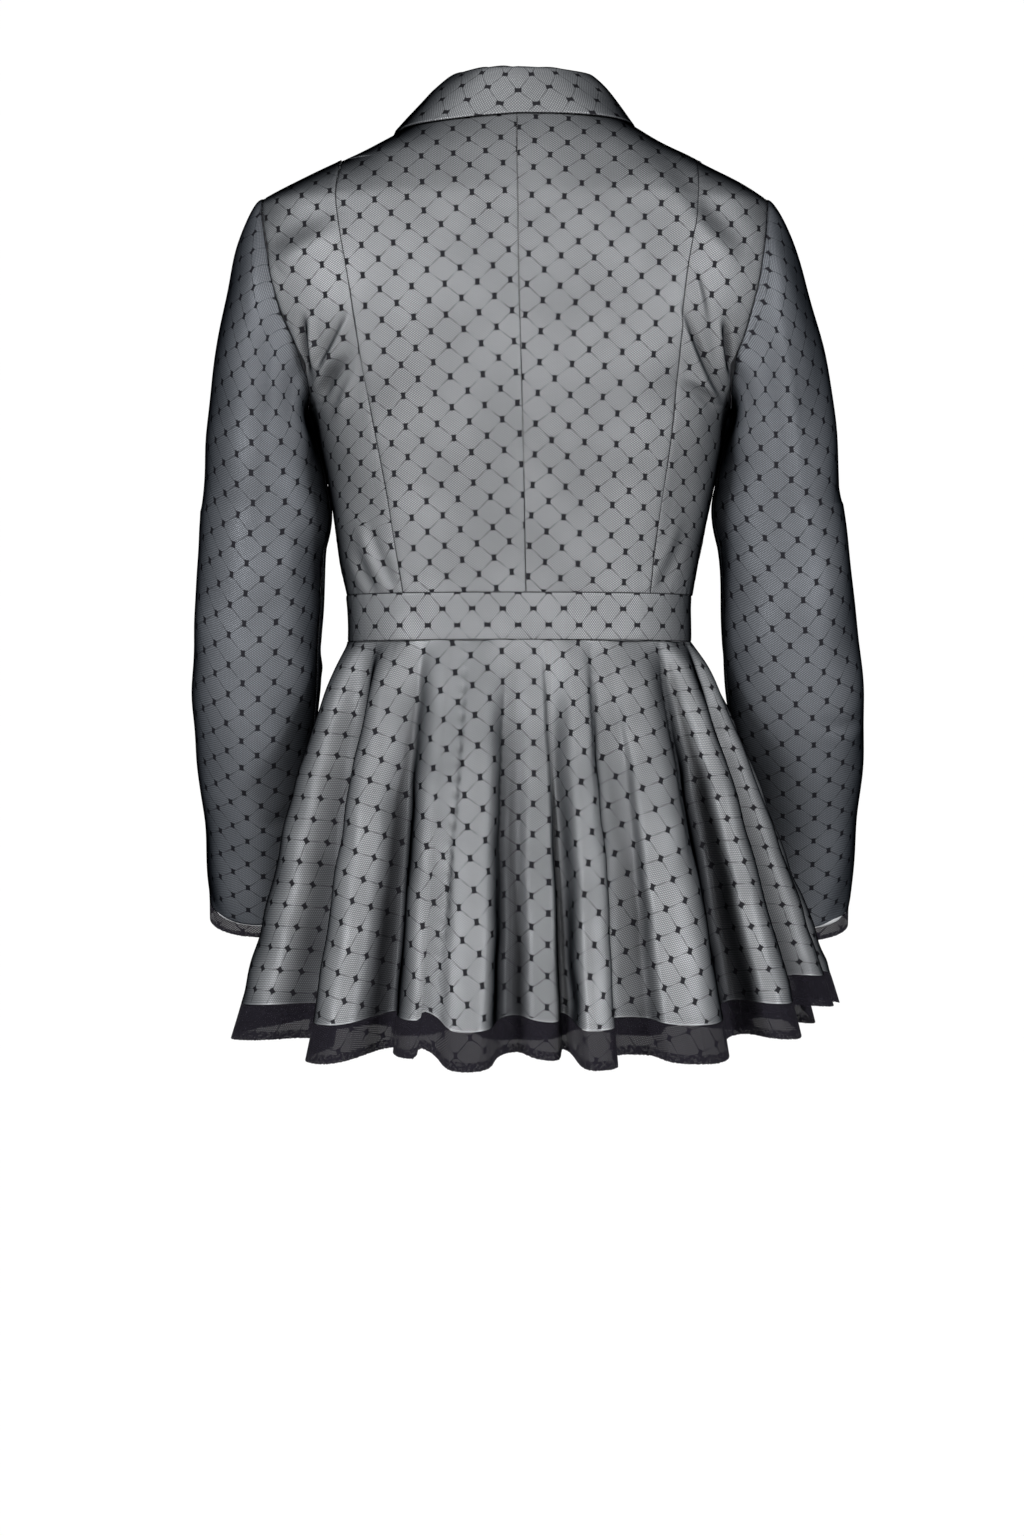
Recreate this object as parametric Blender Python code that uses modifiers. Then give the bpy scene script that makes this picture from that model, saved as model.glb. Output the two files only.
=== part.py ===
"""A peplum jacket in its worn, hollow form: net over satin, long sleeves, turned-down collar.

Metres, +Z up. The origin is the nape at shoulder height, where the wearer carries the jacket.
The back faces +Y and the wearer's left is +X. Every piece is an open sheet, lofted through
sections worked out from the tables below, with a Solidify modifier for the cloth's thickness.
"""

import math
from collections import namedtuple

import bmesh
import bpy
from mathutils import Vector

# ---------------------------------------------------------------- driving sizes

CLOTH = 0.0012  # satin and net together
SHEER = 0.0010  # doubled net hem
SEAM_GAP = 0.0004

NECK_Z = 0.004
SHOULDER_Z = -0.066
PRINCESS_TOP_Z = -0.036
PRINCESS_TOP_ANGLE = 0.03  # leaves the side back a tip a few millimetres wide
UNDERARM_Z = -0.238
WAIST_Z = -0.390
BREAK_Z = -0.300  # where the front opening starts to turn back

WAISTBAND_HEIGHT = 0.038
PEPLUM_LENGTH = 0.303
PEPLUM_NET_LENGTH = 0.030
CUFF_NET_LENGTH = 0.017

COLLAR_STAND = 0.019
COLLAR_CLEARANCE = 0.0035

BACK_ROUNDNESS = 2.25  # 2 is an ellipse, more is squarer
FRONT_ROUNDNESS = 2.1
PEPLUM_BACK_ROUNDNESS = 2.05
PEPLUM_FRONT_ROUNDNESS = 1.85
BUST_HEIGHT = 0.012
BUST_X = 0.080
BUST_Z = -0.200
BUST_RADIUS = 0.058

NIGHT_GREY = (0.16, 0.17, 0.18, 1.0)
BLACK_NET = (0.02, 0.018, 0.024, 1.0)

LEFT = 1
RIGHT = -1

# ---------------------------------------------------------------- tables

# Horizontal sections of the body: half widths to each side, depth behind and in front.
BodyRow = namedtuple("BodyRow", "z left right back front")
BODY = [
    BodyRow(-0.4300, 0.1390, 0.1415, 0.083, 0.101),
    BodyRow(-0.3900, 0.1402, 0.1425, 0.081, 0.102),
    BodyRow(-0.3600, 0.1465, 0.1480, 0.083, 0.107),
    BodyRow(-0.3140, 0.1530, 0.1580, 0.091, 0.117),
    BodyRow(-0.2700, 0.1620, 0.1670, 0.099, 0.126),
    BodyRow(-0.2380, 0.1715, 0.1740, 0.104, 0.130),
    BodyRow(-0.2048, 0.1965, 0.1990, 0.108, 0.131),
    BodyRow(-0.1603, 0.2235, 0.2220, 0.110, 0.126),
    BodyRow(-0.1166, 0.2290, 0.2250, 0.107, 0.116),
    BodyRow(-0.0790, 0.2180, 0.2130, 0.100, 0.103),
    BodyRow(-0.0660, 0.2080, 0.2030, 0.097, 0.097),
    BodyRow(-0.0360, 0.1470, 0.1500, 0.085, 0.080),
    BodyRow(-0.0164, 0.1040, 0.1120, 0.075, 0.068),
    BodyRow(0.0040, 0.0730, 0.0770, 0.061, 0.056),
]

# Centre back and princess seams, by their distance from the middle.
SeamRow = namedtuple("SeamRow", "z centre left right")
SEAMS = [
    SeamRow(-0.3900, -0.0064, 0.0930, 0.1070),
    SeamRow(-0.3460, -0.0055, 0.1000, 0.1112),
    SeamRow(-0.2786, -0.0042, 0.1115, 0.1215),
    SeamRow(-0.2193, -0.0026, 0.1232, 0.1280),
    SeamRow(-0.1505, -0.0008, 0.1344, 0.1330),
    SeamRow(-0.1040, 0.0000, 0.1420, 0.1400),
    SeamRow(-0.0708, 0.0005, 0.1465, 0.1455),
    SeamRow(-0.0360, 0.0008, 0.1435, 0.1455),
    SeamRow(0.0040, 0.0008, 0.1430, 0.1450),
]

# Armhole seams, by their distance from the middle, on the back and on the front.
ArmholeRow = namedtuple("ArmholeRow", "z back_left back_right front_left front_right")
ARMHOLE = [
    ArmholeRow(UNDERARM_Z, 0.1715, 0.1740, 0.1715, 0.1740),
    ArmholeRow(-0.2345, 0.1700, 0.1735, 0.1675, 0.1700),
    ArmholeRow(-0.2251, 0.1695, 0.1725, 0.1640, 0.1655),
    ArmholeRow(-0.2048, 0.1735, 0.1745, 0.1625, 0.1630),
    ArmholeRow(-0.1830, 0.1821, 0.1818, 0.1630, 0.1630),
    ArmholeRow(-0.1603, 0.1918, 0.1885, 0.1650, 0.1645),
    ArmholeRow(-0.1385, 0.1983, 0.1945, 0.1695, 0.1685),
    ArmholeRow(-0.1166, 0.2020, 0.1978, 0.1765, 0.1750),
    ArmholeRow(-0.0923, 0.2064, 0.2005, 0.1890, 0.1865),
    ArmholeRow(-0.0790, 0.2078, 0.2020, 0.1985, 0.1950),
    ArmholeRow(-0.0700, 0.2082, 0.2030, 0.2050, 0.2005),
    ArmholeRow(SHOULDER_Z, 0.2080, 0.2030, 0.2080, 0.2030),
]

# Edge of the front opening above the break, by its distance from the middle.
NeckRow = namedtuple("NeckRow", "z x")
NECK = [
    NeckRow(BREAK_Z, 0.0),
    NeckRow(-0.2200, 0.0270),
    NeckRow(-0.1400, 0.0520),
    NeckRow(-0.0700, 0.0690),
    NeckRow(-0.0300, 0.0745),
    NeckRow(NECK_Z, 0.0700),
]

# Sleeve rings below the cap: centre, half width and half depth.
SleeveRow = namedtuple("SleeveRow", "z x y half_width half_depth")
SLEEVES = {
    LEFT: [
        SleeveRow(-0.300, 0.2079, -0.016, 0.0511, 0.0600),
        SleeveRow(-0.322, 0.2067, -0.017, 0.0538, 0.0595),
        SleeveRow(-0.345, 0.2098, -0.017, 0.0524, 0.0588),
        SleeveRow(-0.380, 0.2125, -0.017, 0.0525, 0.0570),
        SleeveRow(-0.430, 0.2147, -0.019, 0.0524, 0.0550),
        SleeveRow(-0.475, 0.2165, -0.027, 0.0515, 0.0530),
        SleeveRow(-0.520, 0.2180, -0.046, 0.0490, 0.0500),
        SleeveRow(-0.565, 0.2170, -0.074, 0.0460, 0.0470),
        SleeveRow(-0.610, 0.2180, -0.105, 0.0445, 0.0440),
        SleeveRow(-0.643, 0.2190, -0.131, 0.0430, 0.0420),
    ],
    RIGHT: [
        SleeveRow(-0.300, 0.2135, -0.016, 0.0515, 0.0600),
        SleeveRow(-0.318, 0.2136, -0.017, 0.0544, 0.0595),
        SleeveRow(-0.345, 0.2178, -0.017, 0.0538, 0.0588),
        SleeveRow(-0.380, 0.2214, -0.017, 0.0546, 0.0570),
        SleeveRow(-0.430, 0.2248, -0.020, 0.0565, 0.0560),
        SleeveRow(-0.475, 0.2295, -0.030, 0.0570, 0.0540),
        SleeveRow(-0.520, 0.2335, -0.054, 0.0533, 0.0510),
        SleeveRow(-0.565, 0.2365, -0.085, 0.0495, 0.0475),
        SleeveRow(-0.610, 0.2380, -0.114, 0.0470, 0.0445),
        SleeveRow(-0.648, 0.2380, -0.140, 0.0440, 0.0425),
    ],
}

# The peplum before its folds, by the drop below the waistband.
PeplumRow = namedtuple("PeplumRow", "drop left right back front")
PEPLUM = [
    PeplumRow(0.000, 0.1390, 0.1415, 0.083, 0.101),
    PeplumRow(0.022, 0.1490, 0.1545, 0.090, 0.105),
    PeplumRow(0.056, 0.1590, 0.1690, 0.102, 0.111),
    PeplumRow(0.119, 0.1750, 0.1910, 0.128, 0.124),
    PeplumRow(0.212, 0.1920, 0.2190, 0.162, 0.142),
    PeplumRow(0.303, 0.2120, 0.2450, 0.188, 0.158),
    PeplumRow(0.336, 0.2200, 0.2530, 0.197, 0.163),
]

# Peplum folds from the centre back round to each front edge, at the hem: where the ridge
# stands and how far out, how far in or out the furrow beyond it lies and at what share of the
# way to the next ridge, how far the ridge leans away from the centre back, how steep its
# sides are, upright at 1, and how much lower it hangs.
FoldRow = namedtuple("FoldRow", "angle ridge furrow share lean steep drop")
FOLDS = {
    LEFT: [
        FoldRow(9.5, 0.021, 0.009, 0.84, 0.000, 0.90, 0.000),
        FoldRow(21.0, 0.013, -0.021, 0.58, -0.002, 0.10, -0.008),
        FoldRow(36.5, 0.023, -0.022, 0.42, 0.010, 0.75, -0.003),
        FoldRow(66, 0.024, -0.012, 0.50, 0.010, 0.80, -0.015),
        FoldRow(89, 0.010, -0.012, 0.50, 0.004, 0.40, -0.020),
        FoldRow(110, 0.009, -0.020, 0.45, 0.008, 0.55, -0.016),
        FoldRow(132, 0.020, -0.016, 0.55, 0.008, 0.65, -0.010),
        FoldRow(154, 0.018, -0.014, 0.50, 0.006, 0.60, -0.004),
    ],
    RIGHT: [
        FoldRow(6.5, -0.008, -0.021, 0.25, 0.000, 0.20, -0.006),
        FoldRow(13.0, 0.021, -0.010, 0.26, -0.004, 0.80, -0.001),
        FoldRow(36.5, 0.023, -0.024, 0.50, -0.018, 0.65, -0.004),
        FoldRow(57.5, 0.022, -0.018, 0.50, -0.018, 0.70, -0.018),
        FoldRow(71, 0.012, -0.014, 0.50, 0.006, 0.40, -0.037),
        FoldRow(92, 0.012, -0.012, 0.50, 0.006, 0.45, -0.036),
        FoldRow(112, 0.016, -0.020, 0.50, 0.006, 0.50, -0.018),
        FoldRow(132, 0.020, -0.016, 0.55, 0.008, 0.65, -0.010),
        FoldRow(154, 0.018, -0.014, 0.50, 0.006, 0.60, -0.004),
    ],
}
FRONT_EDGE_FOLD = FoldRow(176, 0.010, 0.000, 0.50, 0.000, 0.30, 0.000)
CENTRE_FURROW = -0.022
FOLD_GROWTH = 0.62  # folds deepen soon below the waistband
CREST_BREADTH = 0.30  # ridges are broader than furrows
CREST_DROP = 0.004
FOLD_STEPS = 8  # columns of points to each fold
PEPLUM_DROPS = (0.0004, 0.022, 0.050, 0.085, 0.125, 0.170, 0.215, 0.260)


# ---------------------------------------------------------------- smooth tables


def smooth_at(rows, name, at):
    """The named column of a table at a value of its first column, on a smooth curve."""
    keys = [row[0] for row in rows]
    values = [getattr(row, name) for row in rows]
    at = min(max(at, keys[0]), keys[-1])
    low = max(i for i in range(len(keys) - 1) if keys[i] <= at)

    def slope(i):
        before, after = max(i - 1, 0), min(i + 1, len(keys) - 1)
        return (values[after] - values[before]) / (keys[after] - keys[before])

    span = keys[low + 1] - keys[low]
    t = (at - keys[low]) / span
    return (
        (1 + 2 * t) * (1 - t) ** 2 * values[low]
        + t * (1 - t) ** 2 * span * slope(low)
        + t * t * (3 - 2 * t) * values[low + 1]
        - t * t * (1 - t) * span * slope(low + 1)
    )


def ease(t):
    """0 to 1 with a level start and end."""
    t = min(max(t, 0.0), 1.0)
    return t * t * (3 - 2 * t)


# ---------------------------------------------------------------- body form


def half_width(side, z):
    return smooth_at(BODY, "left" if side == LEFT else "right", z)


def around(x, side, z, front=False):
    """The angle round the section, from the centre back, of the point at x from the middle."""
    roundness = FRONT_ROUNDNESS if front else BACK_ROUNDNESS
    share = min(max(x / half_width(side, z), -1.0), 1.0)
    angle = math.copysign(math.asin(abs(share) ** (roundness / 2)), share)
    return math.pi - angle if front else angle


def body_point(side, angle, z, out=0.0):
    """A point of the body's outer face, angle measured from the centre back to this side."""
    width = half_width(side, z)
    front = angle > math.pi / 2
    depth = smooth_at(BODY, "front" if front else "back", z)
    power = 2 / (FRONT_ROUNDNESS if front else BACK_ROUNDNESS)
    sine, cosine = math.sin(angle), math.cos(angle)
    x = width * math.copysign(abs(sine) ** power, sine)
    y = depth * math.copysign(abs(cosine) ** power, cosine)
    if front:
        reach = ((x - BUST_X) ** 2 + (z - BUST_Z) ** 2) / BUST_RADIUS**2
        y -= BUST_HEIGHT * math.exp(-reach) * abs(cosine)
    away = Vector((x / width**2, y / depth**2, 0)).normalized()
    return Vector((side * (x + away.x * out), y + away.y * out, z))


# ---------------------------------------------------------------- sheets to solids


def material(name, colour, roughness):
    made = bpy.data.materials.new(name)
    made.use_nodes = True
    shader = made.node_tree.nodes["Principled BSDF"]
    shader.inputs["Base Color"].default_value = colour
    shader.inputs["Roughness"].default_value = roughness
    shader.inputs["Metallic"].default_value = 0.0
    return made


def sheet(name, rows, closed, look, thickness=CLOTH, offset=-1.0):
    """A lofted sheet through rows of points, thickened towards its inner side."""
    mesh = bpy.data.meshes.new(name)
    shape = bmesh.new()
    grid = [[shape.verts.new(point) for point in row] for row in rows]
    columns = len(rows[0])
    for upper, lower in zip(grid, grid[1:]):
        for i in range(columns if closed else columns - 1):
            j = (i + 1) % columns
            shape.faces.new((upper[i], upper[j], lower[j], lower[i]))
    shape.to_mesh(mesh)
    shape.free()
    mesh.shade_smooth()
    piece = bpy.data.objects.new(name, mesh)
    JACKET.objects.link(piece)
    piece.data.materials.append(look)
    wall = piece.modifiers.new("cloth", "SOLIDIFY")
    wall.thickness = thickness
    wall.offset = offset
    wall.use_even_offset = True
    return piece


def eased_in(row, first=True, last=True):
    """The row with its ends drawn back from the seams by half the gap."""
    row = [point.copy() for point in row]
    if first:
        row[0] += (row[1] - row[0]).normalized() * SEAM_GAP / 2
    if last:
        row[-1] += (row[-2] - row[-1]).normalized() * SEAM_GAP / 2
    return row


def across(side, start, end, z, columns):
    """Points of the body at height z, evenly spaced in angle."""
    steps = [start + (end - start) * i / (columns - 1) for i in range(columns)]
    return [body_point(side, angle, z) for angle in steps]


def facing_out(rows, side):
    """Rows ordered so that the sheet's faces look away from the body on either side."""
    return rows if side == LEFT else [row[::-1] for row in rows]


# ---------------------------------------------------------------- bodice

BELOW_ARM = [-0.370, -0.350, -0.328, -0.305, -0.282, -0.258]
ARM_ROWS = [row.z for row in ARMHOLE]
ABOVE_ARM = [-0.058, -0.050, -0.044, -0.0395]
TO_NECK = [PRINCESS_TOP_Z + 2 * SEAM_GAP, -0.029, -0.022, -0.014, -0.005, NECK_Z]
SIDE_ROWS = [WAIST_Z] + BELOW_ARM + ARM_ROWS + ABOVE_ARM + [PRINCESS_TOP_Z]
BODY_ROWS = SIDE_ROWS + TO_NECK


def side_name(side):
    return "left" if side == LEFT else "right"


def princess_angle(side, z):
    """The princess seam's angle, and above its top the shoulder seam's."""
    if z > PRINCESS_TOP_Z:
        return math.pi / 2
    if z == PRINCESS_TOP_Z:
        return math.pi / 2 - PRINCESS_TOP_ANGLE
    return around(smooth_at(SEAMS, side_name(side), z), side, z)


def armhole_angle(side, z, front):
    """The armhole seam's angle, or the side or shoulder seam's below and above it."""
    if z <= UNDERARM_Z or z >= SHOULDER_Z:
        return math.pi / 2
    face = "front_" if front else "back_"
    return around(smooth_at(ARMHOLE, face + side_name(side), z), side, z, front)


def opening_angle(side, z):
    """The centre front edge, and above the break the edge that runs up to the neck."""
    if z <= BREAK_Z:
        return math.pi
    return around(smooth_at(NECK, "x", z), side, z, front=True)


def bodice_panel(name, side, heights, start, end, columns, look):
    rows = [
        eased_in(across(side, start(z), end(z), z, columns)) for z in reversed(heights)
    ]
    return sheet(name, facing_out(rows, side), False, look)


def centre_angle(side, z):
    return around(side * smooth_at(SEAMS, "centre", z), side, z)


def make_bodice(look):
    for side in (LEFT, RIGHT):
        where = side_name(side)

        def centre(z):
            return centre_angle(side, z)

        def princess(z):
            return princess_angle(side, z)

        def back_edge(z):
            return armhole_angle(side, z, front=False)

        def front_edge(z):
            return armhole_angle(side, z, front=True)

        def opening(z):
            return opening_angle(side, z)

        bodice_panel("back_" + where, side, BODY_ROWS, centre, princess, 6, look)
        bodice_panel("side_back_" + where, side, SIDE_ROWS, princess, back_edge, 6, look)
        bodice_panel("front_" + where, side, BODY_ROWS, front_edge, opening, 9, look)


# ---------------------------------------------------------------- sleeves

CAP_ROWS = 7
RING_ROWS = 14
SLEEVE_GAP = 0.0009
UNDERARM_TUCK = 0.016  # draws the sleeve in along the body under the arm


def armhole_loop(side):
    """The armhole seam from the shoulder down the back, under the arm and up the front."""
    heights = ARM_ROWS[::-1]
    back = [body_point(side, armhole_angle(side, z, False), z) for z in heights]
    front = [body_point(side, armhole_angle(side, z, True), z) for z in heights]
    return back + front[-2:0:-1]


def sleeve_ring(side, z, turns, overhang=0.0):
    """A ring square to the sleeve's middle line, at the given turns from its outer side."""
    rows = sorted(SLEEVES[side])
    step = 0.004

    def middle(at):
        return Vector((side * smooth_at(rows, "x", at), smooth_at(rows, "y", at), at))

    down = (middle(z - step) - middle(z + step)).normalized()
    centre = middle(z) + down * overhang
    lateral = Vector((side, 0, 0))
    lateral = (lateral - down * lateral.dot(down)).normalized()
    behind = Vector((0, 1, 0))
    behind = (behind - down * behind.dot(down)).normalized()
    width = smooth_at(rows, "half_width", z)
    depth = smooth_at(rows, "half_depth", z)
    return [
        centre
        + lateral * width * math.cos(turn)
        + behind * depth * math.sin(turn)
        for turn in turns
    ]


def cap_rows(side, loop, ring):
    """The sleeve head: from the armhole seam out and over to the first full ring."""
    middle = sum(loop, Vector()) / len(loop)
    rows = []
    for i in range(CAP_ROWS):
        t = (i / CAP_ROWS) ** 1.25
        row = []
        for seam, below in zip(loop, ring):
            radial = seam - middle
            lift = max(radial.z, 0) / 0.09
            tuck = max(-radial.z, 0) / 0.09
            outward = 0.080 - 0.020 * lift - UNDERARM_TUCK * tuck**2
            leave = Vector((side * outward, radial.y * 0.5, -0.050 + 0.035 * lift))
            drop = seam.z - below.z
            leave *= 0.55 + 0.45 * min(drop / 0.20, 1.0)
            arrive = Vector((0, 0, -1.15 * drop))
            start = seam + Vector((side * SLEEVE_GAP, 0, 0))
            row.append(
                start * ((1 + 2 * t) * (1 - t) ** 2)
                + leave * (t * (1 - t) ** 2)
                + below * (t * t * (3 - 2 * t))
                - arrive * (t * t * (1 - t))
            )
        rows.append(row)
    return rows


def sleeve_turns(loop):
    """Where each point of the seam comes down to round the sleeve, by its share of the seam."""
    lengths = [0.0]
    for here, there in zip(loop, loop[1:] + loop[:1]):
        lengths.append(lengths[-1] + (there - here).length)
    return [2 * math.pi * length / lengths[-1] for length in lengths[:-1]]


def make_sleeves(cloth, net):
    for side in (LEFT, RIGHT):
        where = side_name(side)
        loop = armhole_loop(side)
        turns = sleeve_turns(loop)
        top, cuff = SLEEVES[side][0].z, SLEEVES[side][-1].z
        heights = [top + (cuff - top) * i / (RING_ROWS - 1) for i in range(RING_ROWS)]
        rings = [sleeve_ring(side, z, turns) for z in heights]
        rows = cap_rows(side, loop, rings[0]) + rings
        sheet("sleeve_" + where, facing_out(rows, side), True, cloth)
        edge = [
            sleeve_ring(side, cuff, turns, overhang)
            for overhang in (2 * SEAM_GAP, CUFF_NET_LENGTH)
        ]
        sheet("cuff_net_" + where, facing_out(edge, side), True, net, SHEER)


# ---------------------------------------------------------------- collar

LAPEL_COLUMNS = 13
NAPE_COLUMNS = 15

# The turned-back front, by the height of the opening's edge: width, how far its outer edge
# lies below that height, and how high the fold stands above it.
LapelRow = namedtuple("LapelRow", "z width fall stand")
LAPEL = [
    LapelRow(BREAK_Z, 0.008, 0.000, 0.0000),
    LapelRow(-0.2400, 0.030, 0.000, 0.0000),
    LapelRow(-0.1600, 0.056, 0.000, 0.0000),
    LapelRow(-0.0900, 0.062, 0.002, 0.0030),
    LapelRow(-0.0400, 0.052, 0.010, 0.0115),
    LapelRow(NECK_Z, 0.027, 0.016, 0.0190),
]

# Collar round the back of the neck, by the angle from the centre back.
NapeRow = namedtuple("NapeRow", "angle fold_left fold_right fold_y fold_z edge_x left_z right_z")
NAPE = [
    NapeRow(0, 0.0000, 0.0000, 0.0570, 0.0350, 0.0000, -0.0040, -0.0040),
    NapeRow(30, 0.0280, 0.0300, 0.0510, 0.0350, 0.0520, -0.0080, -0.0045),
    NapeRow(60, 0.0500, 0.0545, 0.0310, 0.0335, 0.0840, -0.0100, -0.0045),
    NapeRow(90, 0.0580, 0.0630, 0.0020, 0.0310, 0.0940, -0.0112, -0.0050),
]
FOLD_LEAN = {LEFT: 0.60, RIGHT: 0.45}  # how far the fold leans in beside the neck, by its height


def fall_over(fold, edge):
    """Two points between the fold and the outer edge, on a slightly full line."""
    full = Vector((0, 0, 0.0035))
    return fold.lerp(edge, 0.30) + full, fold.lerp(edge, 0.65) + full * 0.7


def lapel_column(side, z):
    """From the opening's edge, over the fold, to the outer edge lying on the front."""
    x = smooth_at(NECK, "x", z)
    width = smooth_at(LAPEL, "width", z)
    fall = smooth_at(LAPEL, "fall", z)
    stand = smooth_at(LAPEL, "stand", z)
    lift = stand / COLLAR_STAND
    clear = Vector((0, 0, COLLAR_CLEARANCE * lift))

    def lying(share, out):
        height = z - fall * share
        reach = min(x + width * share, half_width(side, height))
        angle = around(reach, side, height, front=True)
        return body_point(side, angle, height, out) + clear

    beside = around(x - 0.0018, side, z, front=True)
    seam = body_point(side, beside, z, -CLOTH / 2) + Vector((0, 0, 0.0004))
    lean = FOLD_LEAN[side] * lift
    fold = lying(0.03, 0.0056) + Vector((-side * stand * lean, -stand * 0.05, stand))
    edge = lying(1.0, COLLAR_CLEARANCE)
    raised = fall_over(fold, edge)
    flat = lying(0.35, 0.0060), lying(0.70, 0.0050)
    between = [low.lerp(high, lift) for low, high in zip(flat, raised)]
    turning = body_point(side, beside, z, 0.0030) + Vector((0, 0, stand * 0.5))
    return [seam, turning, fold] + between + [edge]


def nape_column(side, angle):
    """From the neck seam up the stand, over the fold and down to the outer edge."""
    degrees = math.degrees(angle)
    seam = body_point(side, angle, NECK_Z, -CLOTH / 2) + Vector((0, 0, CLOTH))
    x = smooth_at(NAPE, "fold_" + side_name(side), degrees)
    y = smooth_at(NAPE, "fold_y", degrees)
    z = smooth_at(NAPE, "fold_z", degrees)
    fold = Vector((side * x, y, z))
    low = smooth_at(NAPE, side_name(side) + "_z", degrees)
    share = around(smooth_at(NAPE, "edge_x", degrees), side, low)
    edge = body_point(side, share, low, COLLAR_CLEARANCE)
    return [seam, seam.lerp(fold, 0.55), fold, *fall_over(fold, edge), edge]


def make_collar(look):
    """One band from the left break up round the neck and down to the right break."""
    columns = []
    for side in (LEFT, RIGHT):
        half = []
        start = BREAK_Z + 0.006
        for i in range(LAPEL_COLUMNS):
            z = start + (NECK_Z - start) * (i / (LAPEL_COLUMNS - 1)) ** 0.85
            half.append(lapel_column(side, z))
        steps = NAPE_COLUMNS // 2
        for i in range(steps + (side == LEFT)):
            half.append(nape_column(side, math.pi / 2 * (1 - i / steps)))
        columns += half if side == LEFT else half[::-1]
    rows = [list(row) for row in zip(*columns)]
    sheet("collar", rows, False, look, CLOTH, 0.0)


# ---------------------------------------------------------------- waistband and peplum

BAND_COLUMNS = 25  # on each side of the centre back
FRONT_GAP = 0.0005


def ring_of(side_points):
    """One open row from the left front edge round the back to the right front edge."""
    left, right = side_points(LEFT), side_points(RIGHT)
    return left[::-1] + right[1:]


def make_waistband(look):
    rows = []
    for z in (WAIST_Z - SEAM_GAP, WAIST_Z - WAISTBAND_HEIGHT):

        def half(side, z=z):
            last = math.pi - FRONT_GAP / half_width(side, z)
            steps = [last * i / (BAND_COLUMNS - 1) for i in range(BAND_COLUMNS)]
            return [body_point(side, angle, z, SEAM_GAP) for angle in steps]

        rows.append(ring_of(half))
    sheet("waistband", [row[::-1] for row in rows], False, look)


def folds_of(side):
    """The folds met going round from the one across the centre back, and their angles."""
    across_back = FOLDS[-side][0]
    rows = [across_back] + FOLDS[side] + [FRONT_EDGE_FOLD]
    return rows, [-across_back.angle] + [row.angle for row in rows[1:]]


def fold_wave(side, degrees):
    """The folds at an angle: phase from ridge to ridge, the gap between them, their lean,
    steepness and drop, and how far out the cloth lies."""
    rows, angles = folds_of(side)
    low = max(i for i in range(len(angles) - 1) if angles[i] <= degrees)
    near, far = rows[low], rows[low + 1]
    gap = angles[low + 1] - angles[low]
    t = (degrees - angles[low]) / gap
    mix = ease(t)
    mirrored = -1 if low == 0 else 1
    share = 0.5 if low == 0 else near.share
    furrow = CENTRE_FURROW if low == 0 else near.furrow
    phase = t / share / 2 if t < share else (1 + (t - share) / (1 - share)) / 2
    ridge = near.ridge + (far.ridge - near.ridge) * mix
    lean = mirrored * near.lean + (far.lean - mirrored * near.lean) * mix
    steep = near.steep + (far.steep - near.steep) * mix
    drop = near.drop + (far.drop - near.drop) * mix
    out = furrow + (ridge - furrow) * (0.5 + 0.5 * math.cos(2 * math.pi * phase))
    return phase, math.radians(gap), lean, steep, drop, out


def peplum_point(side, degrees, drop):
    """A point of the folded peplum; folds grow from nothing at the waistband."""
    full = drop / PEPLUM_LENGTH
    grow = full**FOLD_GROWTH
    phase, gap, lean, steep, extra, out = fold_wave(side, degrees)
    crest = math.cos(2 * math.pi * phase)
    sway = steep / 2 * math.sin(4 * math.pi * phase)
    sway += CREST_BREADTH * math.sin(2 * math.pi * phase)
    angle = math.radians(degrees) + sway * min(grow * 1.3, 1.0) * gap / (2 * math.pi)
    front = angle > math.pi / 2
    width = smooth_at(PEPLUM, side_name(side), drop)
    depth = smooth_at(PEPLUM, "front" if front else "back", drop)
    power = 2 / (PEPLUM_FRONT_ROUNDNESS if front else PEPLUM_BACK_ROUNDNESS)
    power = 1 + (power - 1) * min(full * 2, 1.0)
    sine, cosine = math.sin(angle), math.cos(angle)
    x = width * math.copysign(abs(sine) ** power, sine)
    y = depth * math.copysign(abs(cosine) ** power, cosine)
    away = Vector((x / width**2, y / depth**2, 0)).normalized()
    along = Vector((away.y, -away.x, 0))
    shift = lean * grow * (0.5 + 0.5 * crest)
    point = Vector((x, y, 0)) + away * out * grow + along * shift
    fall = drop + (extra + CREST_DROP * crest) * full**1.5
    return Vector((side * point.x, point.y, WAIST_Z - WAISTBAND_HEIGHT - fall))


def peplum_angles(side):
    """Angles of the columns from the centre back to the front edge."""
    ridges = folds_of(side)[1]
    columns = [0.0]
    for here, there in zip(ridges, ridges[1:]):
        steps = [here + (there - here) * i / FOLD_STEPS for i in range(1, FOLD_STEPS + 1)]
        columns += [degrees for degrees in steps if degrees > 0.9]
    return columns + [180 - math.degrees(FRONT_GAP / PEPLUM[0].left)]


def peplum_ring(drop):
    def half(side):
        return [peplum_point(side, degrees, drop) for degrees in peplum_angles(side)]

    return ring_of(half)


def make_peplum(cloth, net):
    drops = PEPLUM_DROPS + (PEPLUM_LENGTH,)
    rows = [peplum_ring(drop)[::-1] for drop in drops]
    sheet("peplum", rows, False, cloth)
    start = PEPLUM_LENGTH + 1.5 * SEAM_GAP
    edge = (start, start + PEPLUM_NET_LENGTH)
    rows = [peplum_ring(drop)[::-1] for drop in edge]
    sheet("peplum_net_hem", rows, False, net, SHEER)


# ---------------------------------------------------------------- the jacket

for item in list(bpy.data.objects):
    bpy.data.objects.remove(item)

JACKET = bpy.data.collections.new("peplum_jacket")
bpy.context.scene.collection.children.link(JACKET)

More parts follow.
